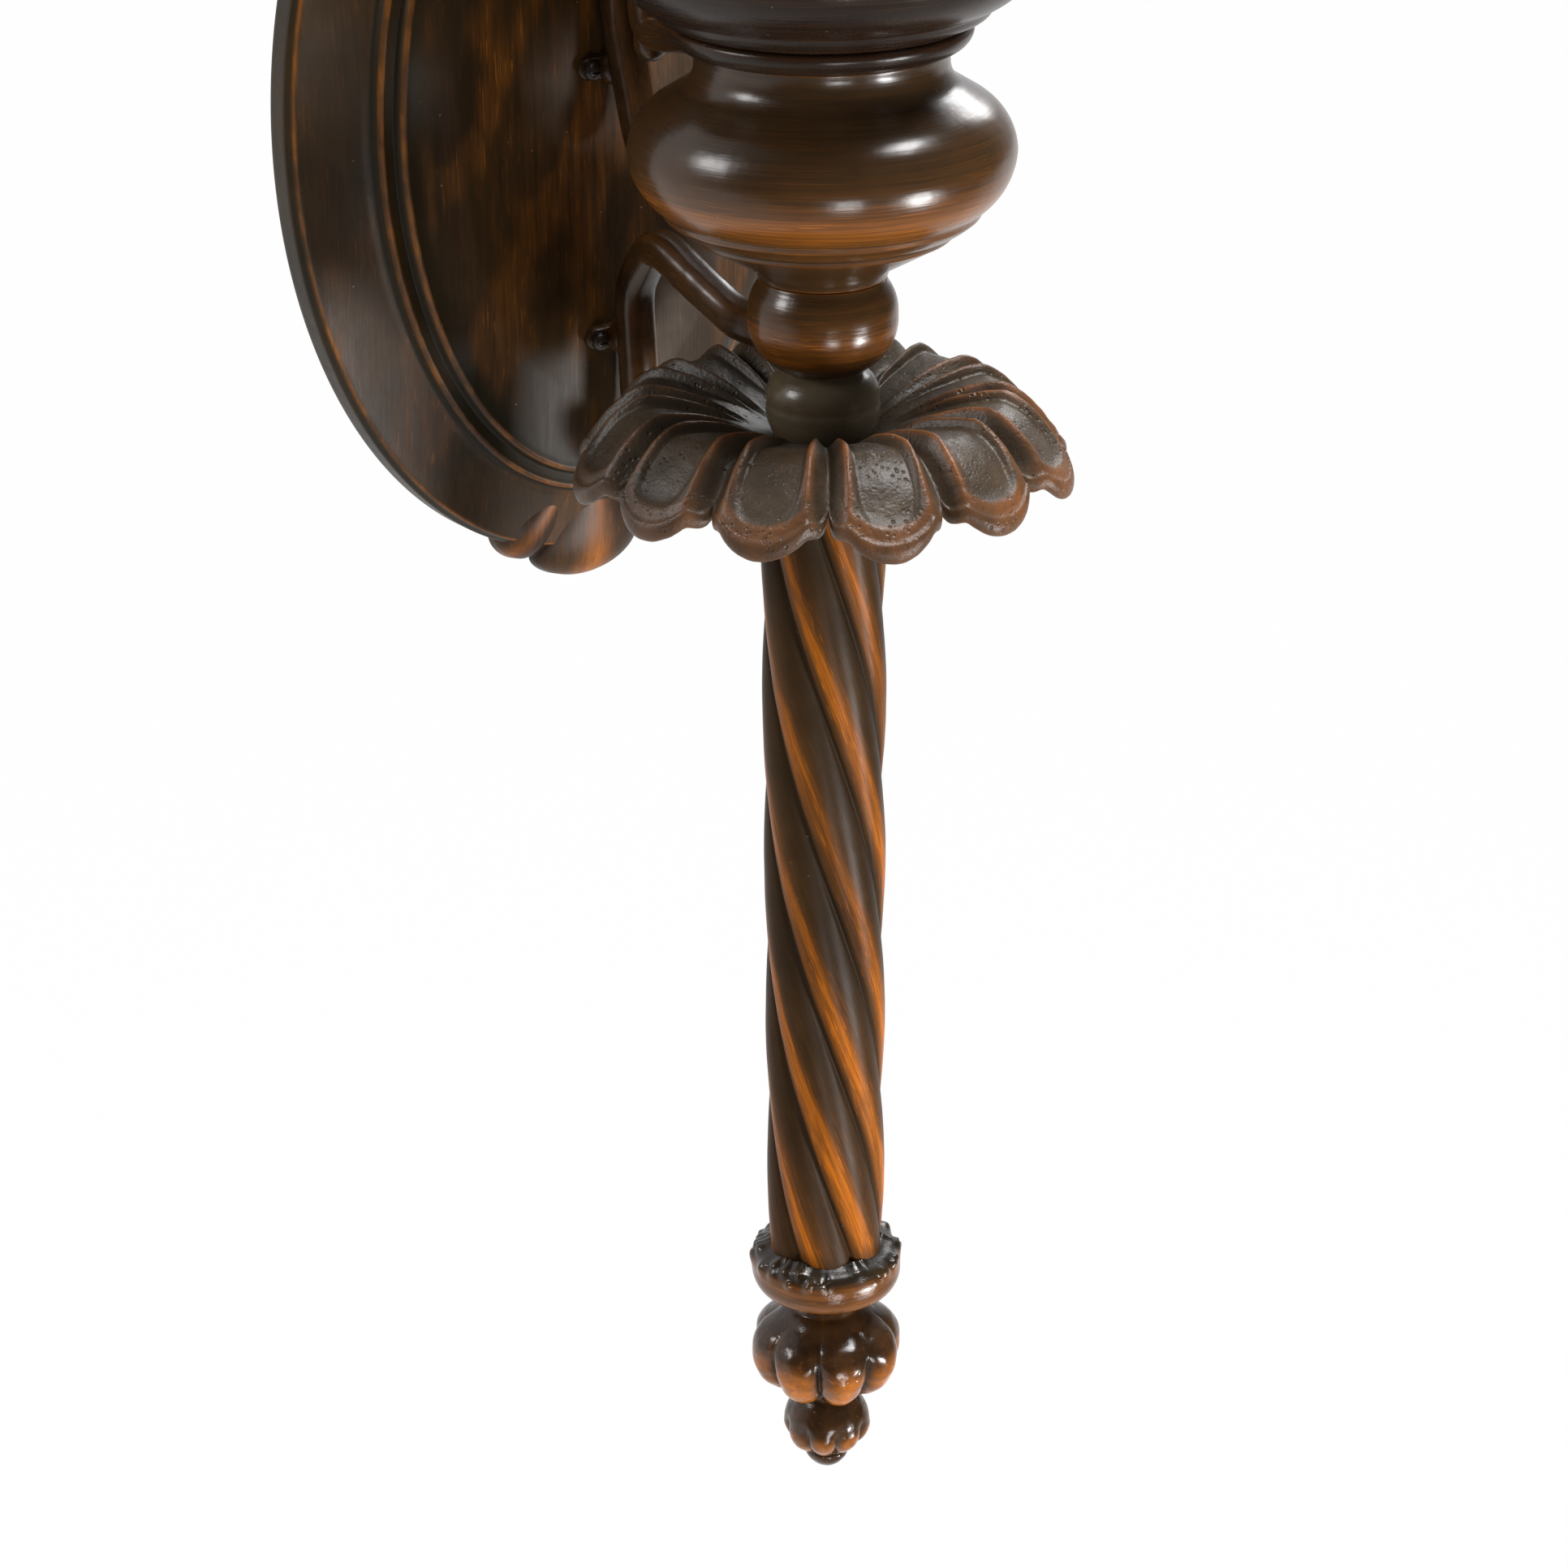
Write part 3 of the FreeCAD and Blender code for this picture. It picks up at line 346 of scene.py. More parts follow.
def rubbed_paint_group():
    """Dark paint brushed over amber: streaks along the brush, bare amber on ridges, painted shade in hollows,
    specks.

    Stroke scales the flow vector, so that noise runs long one way and fine the other.
    """
    colour, number, vector = "NodeSocketColor", "NodeSocketFloat", "NodeSocketVector"
    tree, given, out = new_group("rubbed_paint", [
        ("Flow", vector, None), ("Place", vector, None), ("Stroke", vector, (1.0, 1.0, 1.0)),
        ("Ridge", number, 0.0), ("Hollow", number, 0.0), ("Rub", number, 0.0),
        ("Dark", colour, (0.01, 0.008, 0.006, 1)), ("Brown", colour, (0.03, 0.018, 0.009, 1)),
        ("Amber", colour, (0.35, 0.12, 0.02, 1)), ("Dust", colour, (0.2, 0.18, 0.13, 1)),
        ("Patch Size", number, 30.0), ("Edge Wear", number, 0.8), ("Brush Wear", number, 0.8),
        ("Specks", number, 0.5), ("Gloss", number, 0.3),
    ], [("Color", colour), ("Roughness", number), ("Height", number), ("Bare", number)])
    brushed = add_node(tree, "ShaderNodeVectorMath", {0: given["Flow"], 1: given["Stroke"]},
                       operation="MULTIPLY").outputs[0]
    streaks = spread(tree, noise(tree, brushed, 1.0, 5.0, 0.62), 0.34, 0.68)
    coarse = spread(tree, noise(tree, brushed, 0.32, 3.0, 0.5), 0.35, 0.65)
    scratches = spread(tree, noise(tree, brushed, 1.9, 1.0, 0.5), 0.66, 0.72)
    patches = spread(tree, noise(tree, given["Place"], given["Patch Size"], 3.0, 0.55), 0.36, 0.66)
    grain = noise(tree, given["Place"], 1400.0, 2.0, 0.6)
    tone = maths(tree, "MULTIPLY", patches, maths(tree, "MULTIPLY_ADD", streaks, 0.25, 0.75), clamp=True)
    base = blend_colour(tree, tone, given["Dark"], given["Brown"])
    brush = maths(tree, "MULTIPLY", maths(tree, "MULTIPLY_ADD", coarse, 0.4, 0.35),
                  maths(tree, "MULTIPLY_ADD", streaks, 0.6, 0.4))
    brush = maths(tree, "ADD", brush, maths(tree, "MULTIPLY", scratches, 0.8))
    brush = maths(tree, "MULTIPLY", maths(tree, "MULTIPLY", brush, given["Rub"]), given["Brush Wear"])
    edge = maths(tree, "MULTIPLY", given["Ridge"], maths(tree, "MULTIPLY_ADD", patches, 0.6, 0.4))
    edge = maths(tree, "MULTIPLY", edge, maths(tree, "MULTIPLY_ADD", streaks, 0.5, 0.5))
    bare = maths(tree, "ADD", brush, maths(tree, "MULTIPLY", edge, given["Edge Wear"]), clamp=True)
    painted = blend_colour(tree, bare, base, given["Amber"])
    # Painted shade: where this mask is high (hollows, creases and where parts meet) the colour is blended
    # toward the dark paint. On the shaft the same mask also lays darker paint over each strand's right flank.
    shade_and_dark_share = maths(tree, "MULTIPLY", given["Hollow"], 0.75)
    shaded = blend_colour(tree, shade_and_dark_share, painted, given["Dark"])
    cells = add_node(tree, "ShaderNodeTexVoronoi", {"Vector": given["Place"], "Scale": 240.0})
    dots = spread(tree, cells.outputs["Distance"], 0.09, 0.05)
    chosen = spread(tree, noise(tree, given["Place"], 170.0, 1.0), 0.60, 0.66)
    speck = maths(tree, "MULTIPLY", maths(tree, "MULTIPLY", dots, chosen), given["Specks"], clamp=True)
    final = blend_colour(tree, speck, shaded, given["Dust"])
    tree.links.new(final, out["Color"])
    rough = maths(tree, "MULTIPLY_ADD", grain, 0.06, maths(tree, "SUBTRACT", given["Gloss"], 0.05))
    rough = maths(tree, "MULTIPLY_ADD", streaks, 0.06, rough)
    rough = maths(tree, "MULTIPLY_ADD", given["Hollow"], 0.12, rough, clamp=True)
    tree.links.new(rough, out["Roughness"])
    broad = noise(tree, given["Place"], 90.0, 2.0)
    height = maths(tree, "MULTIPLY_ADD", streaks, 0.06, maths(tree, "MULTIPLY", grain, 0.05))
    height = maths(tree, "MULTIPLY_ADD", broad, 0.9, height)
    tree.links.new(maths(tree, "MULTIPLY_ADD", speck, 0.5, height), out["Height"])
    tree.links.new(bare, out["Bare"])
    return tree


def cast_pitting_group():
    """Sand-cast skin: small round pits where a broad noise allows them, over a grainy ground."""
    number, vector = "NodeSocketFloat", "NodeSocketVector"
    tree, given, out = new_group("cast_pitting", [
        ("Place", vector, None), ("Size", number, 450.0), ("Amount", number, 1.0),
    ], [("Height", number), ("Pits", number)])
    cells = add_node(tree, "ShaderNodeTexVoronoi", {"Vector": given["Place"], "Scale": given["Size"]})
    pits = spread(tree, cells.outputs["Distance"], 0.34, 0.12)
    allowed = spread(tree, noise(tree, given["Place"], 130.0, 2.0), 0.46, 0.6)
    pits = maths(tree, "MULTIPLY", maths(tree, "MULTIPLY", pits, allowed), given["Amount"], clamp=True)
    ground = noise(tree, given["Place"], 700.0, 3.0, 0.65)
    ground = maths(tree, "MULTIPLY", ground, given["Amount"])
    tree.links.new(maths(tree, "SUBTRACT", ground, pits), out["Height"])
    tree.links.new(pits, out["Pits"])
    return tree


def rgba(colour):
    """A colour as a node colour."""
    return (*colour, 1.0)


def grey(level):
    """A grey as a node colour."""
    return rgba((level, level, level))


def finish_material(name, stroke, dark, brown, amber, dust, patch=30.0, edge=0.8, brush=0.8, specks=0.5,
                    gloss=0.3, pitting=0.0, relief=0.00025, specular=0.42):
    """Bronze paint for one piece: rubbed paint, and cast pitting where its amount is above 0."""
    material, tree, shader, place = new_material(name)
    masks = {label: add_node(tree, "ShaderNodeAttribute", attribute_name=label).outputs["Fac"]
             for label in ("ridge", "hollow", "rub")}
    flow = add_node(tree, "ShaderNodeAttribute", attribute_name="flow").outputs["Vector"]
    paint = add_node(tree, "ShaderNodeGroup", {
        "Flow": flow, "Place": place, "Stroke": stroke, "Ridge": masks["ridge"], "Hollow": masks["hollow"],
        "Rub": masks["rub"], "Dark": rgba(dark), "Brown": rgba(brown), "Amber": rgba(amber),
        "Dust": rgba(dust), "Patch Size": patch, "Edge Wear": edge, "Brush Wear": brush, "Specks": specks,
        "Gloss": gloss}, node_tree=bpy.data.node_groups["rubbed_paint"])
    height = paint.outputs["Height"]
    colour = paint.outputs["Color"]
    if pitting:
        skin = add_node(tree, "ShaderNodeGroup", {"Place": place, "Amount": pitting},
                        node_tree=bpy.data.node_groups["cast_pitting"])
        height = maths(tree, "MULTIPLY_ADD", skin.outputs["Height"], 0.9, height)
        colour = blend_colour(tree, maths(tree, "MULTIPLY", skin.outputs["Pits"], 0.7), colour, rgba(dark))
    fill_in(tree, shader, {"Base Color": colour, "Roughness": paint.outputs["Roughness"],
                           "Normal": bumped(tree, height, 1.0, relief), "Specular IOR Level": specular})
    return material


def dress(made, material):
    """Give a piece one material."""
    made.data.materials.clear()
    made.data.materials.append(material)


# Settings


def count_setting(name, description, default, low, high):
    """A whole-number setting."""
    return bpy.props.IntProperty(name=name, description=description, default=default, min=low, max=high)


def length_setting(name, description, default):
    """A length setting, in metres."""
    return bpy.props.FloatProperty(name=name, description=description, default=default, unit="LENGTH")


def colour_setting(name, description, default):
    """A colour setting."""
    return bpy.props.FloatVectorProperty(name=name, description=description, default=default,
                                         subtype="COLOR")


class WallLightSizes(bpy.types.PropertyGroup):
    """Sizes that a user would change."""

    petal_count: count_setting("Petals", "Petals round the collar", 12, 6, 24)
    strand_count: count_setting("Strands", "Strands of the shaft", 6, 3, 12)
    twist_pitch: length_setting("Twist pitch", "Height of one full twist", 0.355)
    petal_lip: length_setting("Petal lip", "Thickness of the petals' rolled lip", 0.0066)
    lump_height: length_setting("Ring lumps", "Height of the lumps on the ring", 0.0016)


class WallLightColours(bpy.types.PropertyGroup):
    """Colours of the finish."""

    # The dark paint is also the colour of the painted shade in hollows, creases and where parts meet.
    dark: colour_setting("Dark paint", "Paint in hollows and on the cup", (0.010, 0.0072, 0.0045))
    brown: colour_setting("Brown paint", "Brushed brown paint", (0.045, 0.022, 0.0065))
    amber: colour_setting("Amber ground", "Ground where paint is rubbed off", (0.42, 0.125, 0.009))
    rust: colour_setting("Rust ground", "Redder ground on edges", (0.26, 0.075, 0.010))
    dust: colour_setting("Dust", "Specks in the paint", (0.30, 0.27, 0.20))
    glass: colour_setting("Glass", "Frosted glass of the shade", (0.86, 0.80, 0.68))


def sizes():
    """The scene's sizes."""
    return bpy.context.scene.wall_light_sizes


def colours():
    """The scene's colours."""
    return bpy.context.scene.wall_light_colours


def painted(name, stroke, **values):
    """Finish material with the scene's colours, any of which a value may replace."""
    given = colours()
    settings = {"dark": given.dark, "brown": given.brown, "amber": given.amber, "dust": given.dust}
    return finish_material(name, stroke, **(settings | values))


# Scales of the brush noise along the flow vector: small runs long, large runs fine
TURNED_STROKE = (40.0, 40.0, 1500.0)
PLATE_STROKE = (900.0, 300.0, 45.0)
SHAFT_STROKE = (1500.0, 1500.0, 60.0)
ARM_STROKE = (600.0, 600.0, 60.0)


# Shapes


# Oval plate: insets from its edge and depths before the wall, from the back edge over the rim, the band
# and two mouldings to the middle. Then its inner wall, and how far each inset moves the top and foot in.
PLATE_FRONT = [
    (0.0, 0.3), (0.0, 8.4), (1.9, 10.9, 0.35), (24.4, 16.2, 0.25), (26.6, 17.0, -0.25),
    (27.4, 19.4), (28.9, 21.0, -0.35), (30.2, 20.6), (33.0, 20.3, -0.15), (33.9, 22.4),
    (35.3, 24.2, -0.35), (36.9, 24.0), (40.0, 24.2), (55.0, 26.4), (85.0, 27.7), (PLATE_HALF_WIDTH, 28.0),
]
PLATE_BACK = [(112.9, 24.4), (85, 24.1), (55, 22.6), (38, 20.6), (30, 13.8), (14, 10.2), (3.6, 7.6),
              (3.6, 0.3), (0.0, 0.3)]
PLATE_NARROWING = [(0, 0), (1.6, 1.6), (27, 24), (28, 25), (34, 31), (37, 34), (55, 58), (85, 110),
                   (100, 136), (PLATE_HALF_WIDTH, PLATE_HALF_HEIGHT)]


def oval_plate(name, material):
    """Oval plate: every point of the outline is carried round an ellipse.

    An inset i gives the half width a = 113 - i, and the half height b from a table that reaches 0
    together with it: x = a cos t, z = b sin t, y = -depth. The inner wall runs back 3.6 mm behind.
    """
    front = rounded(PLATE_FRONT, soft=0.55, step=0.2, closed=False)
    front = spaced(front, 150, closed=False, fine=3.0)
    curve = -bend(front, False)
    line = np.vstack([front[::-1], PLATE_BACK[::-1]])
    turn = full_turn(400)
    inset, depth = line[:, 0], line[:, 1]
    half_width = PLATE_HALF_WIDTH - inset
    half_height = PLATE_HALF_HEIGHT - np.interp(inset, *zip(*PLATE_NARROWING))
    half_width[inset > 112.85] = 0
    half_height[inset > 112.85] = 0
    grid = stacked(np.cos(turn)[:, None] * half_width, -depth, np.sin(turn)[:, None] * half_height)
    grid[..., 1] += waves(grid, 5, 60.0) * 0.18 * (depth > 9)
    ridge, hollow = np.zeros((2, len(line)))
    ridge[:len(front)] = step_up(curve[::-1], 0.12, 0.45) * (front[::-1, 0] > 1.2)
    # Painted shade in the concave creases of the mouldings.
    hollow[:len(front)] = step_up(-curve[::-1], 0.12, 0.45)
    field = step_up(inset, 38, 44)
    blotch = step_up(waves(grid * np.array([1.3, 0, 0.8]), 41, 52.0), -0.15, 0.35)
    middle = np.exp(-((grid[..., 0] + 22) / 30) ** 2 - ((grid[..., 2] - 5) / 55) ** 2)
    amber_field = field * (0.12 + 0.35 * blotch + 0.75 * middle * (0.35 + 0.65 * blotch))
    rub = (0.12 + 0.3 * blotch) * (inset > 2) * (inset < 26) + amber_field
    worn = 0.45 + 0.55 * step_up(waves(grid, 43, 16.0), -0.35, 0.30)
    make_piece(name, material, grid, grid, {"ridge": ridge * worn, "hollow": hollow, "rub": rub},
               wrap=(True, False), replaces=("backplate",))


def shell_foot(name, material):
    """Fan of five flutes at the plate's foot.

    In polar terms about a root at z = -112, the reach R(angle) scallops at each flute, and the depth is
    2 + 13 (1 - (r/R)^6)^0.5 across the crest, times 0.66 + 0.34 (1 - s^2)^0.5 across each flute.
    """
    bounds = np.radians([-63, -50, -25, 25, 50, 63])
    peaks = np.array([54.0, 55.0, 58.0, 55.0, 54.0])
    around, along = 241, 60
    angle = np.linspace(bounds[0], bounds[-1], around)
    flute = np.clip(np.searchsorted(bounds, angle, side="right") - 1, 0, 4)
    middle = (bounds[flute] + bounds[flute + 1]) / 2
    half = (bounds[flute + 1] - bounds[flute]) / 2
    across = (angle - middle) / half
    crown = np.sqrt(np.maximum(1 - across ** 2, 0))
    reach = peaks[flute] - 6.5 * (1 - crown)
    share = np.concatenate([np.linspace(0.18, 1, along), np.linspace(1, 0.18, 12)[1:]])
    top = np.arange(len(share)) < along
    r = reach[:, None] * share
    profile = np.where(top, np.sqrt(np.maximum(1 - share ** 6, 0)), 0.0)
    depth = 2.0 + 13.0 * profile * (0.66 + 0.34 * crown[:, None])
    depth = np.where(top, depth, 1.0)
    grid = stacked(r * np.sin(angle)[:, None], -depth, SHELL_ROOT - r * np.cos(angle)[:, None])
    crest = np.clip(1 - np.abs(across) / 0.42, 0, 1)[:, None] * step_up(share, 0.3, 0.5) * top
    # Painted shade in the valleys between the flutes.
    valley = step_up(np.abs(across), 0.75, 0.98)[:, None] * top
    masks = {"ridge": crest, "hollow": valley * 0.6, "rub": 0.25 * top}
    make_piece(name, material, grid, grid, masks, wrap=(False, True))


def tube(name, material, route, radius, replaces=(), squareness=2.4, count=150, soft=5.0):
    """Bar bent along a route in the plane x = 0.

    The route (forward, height) is softened, and at each point a superellipse of that radius stands
    across it: |u|^n + |v|^n = r^n. Both ends close over a quarter-round.
    """
    line = spaced(rounded(route, soft=soft, step=0.5, closed=False), count, False, fine=6.0)
    along = np.gradient(line, axis=0)
    along /= np.hypot(*along.T)[:, None]
    side = np.stack([-along[:, 1], along[:, 0]], 1)
    travelled = travelled_along(line)
    left = np.minimum(travelled, travelled[-1] - travelled)
    swell = np.sqrt(np.clip(1 - (1 - np.clip(left / radius, 0, 1)) ** 2, 0, 1))
    turn = full_turn(40)
    shape = (np.abs(np.cos(turn)) ** squareness + np.abs(np.sin(turn)) ** squareness) ** (-1 / squareness)
    reach = radius * swell[None, :] * shape[:, None]
    lateral = reach * np.sin(turn)[:, None]
    grid = stacked(reach * np.cos(turn)[:, None], line[:, 0] + lateral * side[:, 0],
                   line[:, 1] + lateral * side[:, 1])
    grid += (waves(grid, 11, 22.0) * 0.25)[..., None] * np.array([0.6, 0.5, 0.2])
    corner = np.abs(np.sin(2 * turn)) ** 6
    masks = {"ridge": corner[:, None] * 0.25, "rub": 0.25}
    make_piece(name, material, grid, unrolled(turn, 6, travelled), masks, wrap=(True, False),
               replaces=replaces)


def petal_rise(radius):
    """Height of a petal's crest line: concave up to a crest at r = 56, then drooping as (r - 56)^1.7."""
    inner = -67.5 - 17.0 * (np.maximum(PETAL_CREST - radius, 0) / (PETAL_CREST - PETAL_HUB)) ** 1.7
    return inner - 21.5 * (np.maximum(radius - PETAL_CREST, 0) / (PETAL_REACH - PETAL_CREST)) ** 1.7


def petal_grid():
    """Petal collar as one closed sheet: top, rolled lip and underside.

    With u from -1 to 1 across a petal and t from 0 to 1 out along it, the edge lies at
    R(u) = 66.5 + 12.5 (1 - |u|^2.1)^0.58 and the height follows petal_rise. A sunken field fills
    |u| < 0.58, a narrow ridge stands at |u| = 0.66, and the web between two petals falls away to u = 1.
    """
    count = sizes().petal_count
    lip = sizes().petal_lip * 1000
    across_count, along_count = 52, 92
    around = count * across_count
    turn = NOTCH_TURN + full_turn(around)
    u = ((np.arange(around) % across_count) / across_count * 2 - 1)[:, None]
    side = np.abs(u)
    which = (np.arange(around) // across_count)[:, None]
    lean = np.random.default_rng(4).uniform(-1, 1, (count, 3))[which[:, 0] % count]
    edge = 66.5 + (12.5 + lean[:, :1] * 0.5) * np.maximum(1 - side ** 2.1, 0) ** 0.58
    web = 0.5 - 0.5 * np.cos(math.pi * np.clip((side - 0.64) / 0.36, 0, 1))

    def base(t):
        """Radius and height of the bare sheet at t, before its relief."""
        radius = PETAL_HUB + (edge - PETAL_HUB) * t
        sag = web * (2.0 + 6.5 * step_up(t, 0.30, 1.10)) * step_up(t, 0.08, 0.4)
        return radius, petal_rise(radius) - sag - lean[:, 1:2] * 0.8 * t ** 3

    t = np.linspace(0, 1, along_count)[None, :] ** 0.9
    radius, height = base(t)
    field = 1 - step_up(((side / 0.58) ** 6 + (np.abs(t - 0.52) / 0.455) ** 6) ** (1 / 6), 0.86, 1.02)
    field = field * step_up(t, 0.12, 0.5)
    ridge_line = np.exp(-((side - 0.66) / 0.07) ** 2) * step_up(t, 0.08, 0.4) * (1 - step_up(t, 0.90, 1.0))
    rim = step_up(t, 0.94, 0.975) * (1 - step_up(side, 0.62, 0.92))
    height = height - 2.3 * field + 0.9 * ridge_line + 0.5 * rim * (1 - step_up(t, 0.97, 1.0))
    bulge = np.linspace(0, math.pi, 10)[1:-1][None, :]
    lip = lip * (1 - 0.35 * side ** 3)
    nose_radius = radius[:, -1:] + 1.7 * np.sin(bulge)
    nose_height = height[:, -1:] - lip / 2 + lip / 2 * np.cos(bulge)
    back = np.linspace(1, 0, 30)[None, :]
    back_radius, back_height = base(back)
    back_height = back_height - 3.0 - (lip - 3.0) * back ** 12
    line = np.concatenate([np.stack([radius, height], -1), np.stack([nose_radius, nose_height], -1),
                           np.stack([back_radius, back_height], -1)], 1)
    swirl = turn[:, None] + math.radians(1.2) * np.sin(line[..., 0] / PETAL_REACH * math.pi)
    grid = about_axis(swirl, line[..., 0], line[..., 1])
    away = np.clip((line[..., 0] - 20) / 20, 0, 1)
    grid[..., 2] += (waves(grid, 8, 16.0) * 0.30 + waves(grid, 9, 5.0) * 0.10) * away
    ridge, hollow, rub = np.zeros((3, *line.shape[:2]))
    front = np.cos(turn - NOTCH_TURN - math.radians(35))[:, None]
    facing = 0.30 + 0.70 * step_up(front, -0.5, 0.8)
    under = slice(along_count, along_count + 8)
    ridge[:, :along_count] = (ridge_line * step_up(t, 0.15, 0.4) + rim * 0.55) * facing
    ridge[:, under] = 0.55 * (1 - 0.6 * step_up(side, 0.7, 0.98)) * facing
    # Painted shade: darker toward the hub under the small ball, and in the crease before the rolled lip.
    groove = np.exp(-((t - 0.935) / 0.02) ** 2) * (side < 0.6)
    hollow[:, :along_count] = (1 - step_up(t, 0.0, 0.35)) * 0.75 + 0.5 * groove
    rub[:, :along_count] = 0.20 * step_up(t, 0.3, 0.9) * facing
    flow = stacked(u * 10 + which * 37, which * 11, line[..., 0])
    return grid, flow, {"ridge": ridge, "hollow": hollow, "rub": rub}


def shaft_grid():
    """Twisted shaft: a section of round strands turned as it rises.

    At an angle p from a strand's middle the section is c cos p + (s^2 - c^2 sin^2 p)^0.5, and the whole
    section turns by one full left-hand twist over the pitch.
    """
    count = sizes().strand_count
    pitch = sizes().twist_pitch * 1000
    low, high = SHAFT_LOW.z, SHAFT_HIGH.z
    centre = SHAFT_RADIUS - STRAND_RADIUS
    around, along = 252, 330
    turn = full_turn(around)
    height = np.linspace(low, high, along)
    period = FULL / count
    phase = (turn + period / 2) % period - period / 2
    radius = centre * np.cos(phase) + np.sqrt(STRAND_RADIUS ** 2 - (centre * np.sin(phase)) ** 2)
    groove = np.exp(-((np.abs(phase) - period / 2) / math.radians(3.0)) ** 2)
    radius = radius - 0.7 * groove
    start = math.radians(27.4) + period / 2
    angle = turn[:, None] + start - (height[None, :] - low) / pitch * FULL
    grid = about_axis(angle, radius[:, None], height)
    grid[..., :2] += (waves(grid, 21, 40.0) * 0.12)[..., None] * np.stack([np.cos(angle), np.sin(angle)], -1)
    flow = unrolled(turn, 20, height)
    share = phase / (period / 2)
    stripe = np.exp(-((share + 0.40) / 0.30) ** 2)[:, None]
    lively = 0.5 + 0.5 * waves(flow * np.array([1.5, 1.5, 0.35]), 31, 26.0)
    lower = 0.75 + 0.55 * (1 - step_up(height, low, (low + high) / 2))
    rub = 1.5 * stripe * (0.4 + 0.6 * step_up(lively, 0.2, 0.6)) * lower + 0.22 * (lower - 0.6)
    # Painted shade in the grooves between the strands and at the foot where the shaft meets the ring, with
    # darker paint over each strand's right flank.
    shade_and_dark_share = np.maximum(step_up(np.abs(share), 0.80, 0.98), 0.75 * step_up(share, 0.10, 0.75))
    foot = 0.9 * (1 - step_up(height, low + 3, low + 15))
    hollow = np.maximum(shade_and_dark_share[:, None], foot[None, :])
    bottom, top = about_axis(angle[:, :1], 12, low), about_axis(angle[:, -1:], 12, high)
    grid = np.concatenate([bottom, grid, top], 1)
    pad = ((0, 0), (1, 1))
    flow = np.pad(flow, (*pad, (0, 0)), mode="edge")
    return grid, flow, {"ridge": 0.0, "hollow": np.pad(hollow, pad, mode="edge"),
                        "rub": np.pad(rub, pad, mode="edge")}


FINIAL = [
    (0.0, FINIAL_TOP), (12.6, FINIAL_TOP), (12.0, -399.6, -0.3), (11.3, -402.5, -0.1),
    (12.4, -406.0, -0.2), (17.0, -409.5, -0.2), (22.3, -413.0), (26.0, -417.5, -0.3),
    (26.9, -423.5, -0.4), (25.3, -430.2, -0.5), (21.4, -435.8, -0.6), (16.2, -438.8, -0.4),
    (11.2, -439.4, -0.3), (10.0, -442.4, 0.5), (12.6, -446.6, -0.2), (15.1, -454.5, -0.5),
    (14.8, -459.2, -0.4), (11.8, -463.4, -0.4), (8.6, -465.4, -0.3), (7.0, -466.4),
    (7.7, -468.0, -0.3), (5.8, -471.6, -0.4), (0.0, FINIAL_LOW, -0.8),
]
FINIAL_TIERS = (  # lobes, turn in degrees, heights of the grooves' start, deepest place and end, depth
    (8, 15.0, -407.0, -426.0, -438.2, 6.6),
    (8, 37.5, -450.5, -457.0, -465.2, 3.2),
)


def finial_grid():
    """Two-tier finial: a turned outline pushed inward between its lobes.

    With s from -1 to 1 across a lobe, the push along the outline's normal is depth(z) times
    1 - (1 - s^2)^0.5. Depth is 0 at each tier's top and greatest at its lower bulge.
    """
    line = spaced(rounded(FINIAL, soft=0.45, step=0.2, closed=False), 190, False, fine=2.0)
    line[0], line[-1] = (0.0, FINIAL_TOP), (0.0, FINIAL_LOW)
    tangent = np.gradient(line, axis=0)
    tangent /= np.hypot(*tangent.T)[:, None] + 1e-9
    normal = np.stack([-tangent[:, 1], tangent[:, 0]], 1)
    height = line[:, 1]
    turn = full_turn(256)
    push, crest = np.zeros((2, len(turn), len(line)))
    for lobes, offset, top, full, low, depth in FINIAL_TIERS:
        period = FULL / lobes
        share = ((turn - NOTCH_TURN - math.radians(offset) + period / 2) % period) / period * 2 - 1
        valley = 1 - np.sqrt(np.maximum(1 - (share * 0.985) ** 2, 0))
        rise = step_up(-height, -top, -full) * (1 - step_up(-height, -low, -low + 1.6))
        push += valley[:, None] * rise * depth
        bulge = np.sqrt(np.maximum(1 - share ** 2, 0))[:, None]
        begins = step_up(-height, -(top + full) / 2, -full + 1)
        ends = 1 - step_up(-height, -low - 2, -low + 1)
        crest += (depth / FINIAL_TIERS[0][-1]) ** 0.6 * bulge ** 1.5 * begins * ends
    radius = line[:, 0] - push * normal[:, 0]
    radius = np.where(line[:, 0] > 0.01, np.maximum(radius, 2.0 * (line[:, 0] > 3)), 0.0)
    grid = about_axis(turn[:, None], radius, height - push * normal[:, 1])
    wobble = waves(grid, 17, 14.0) * 0.3 * (line[:, 0] > 3)
    grid[..., 0] += wobble * np.cos(turn)[:, None]
    grid[..., 1] += wobble * np.sin(turn)[:, None]
    # Painted shade in the grooves between the lobes.
    masks = {"ridge": crest, "hollow": step_up(push, 1.6, 4.5), "rub": 0.25 + 0.75 * crest}
    return grid, unrolled(turn, 20, grid[..., 2]), masks


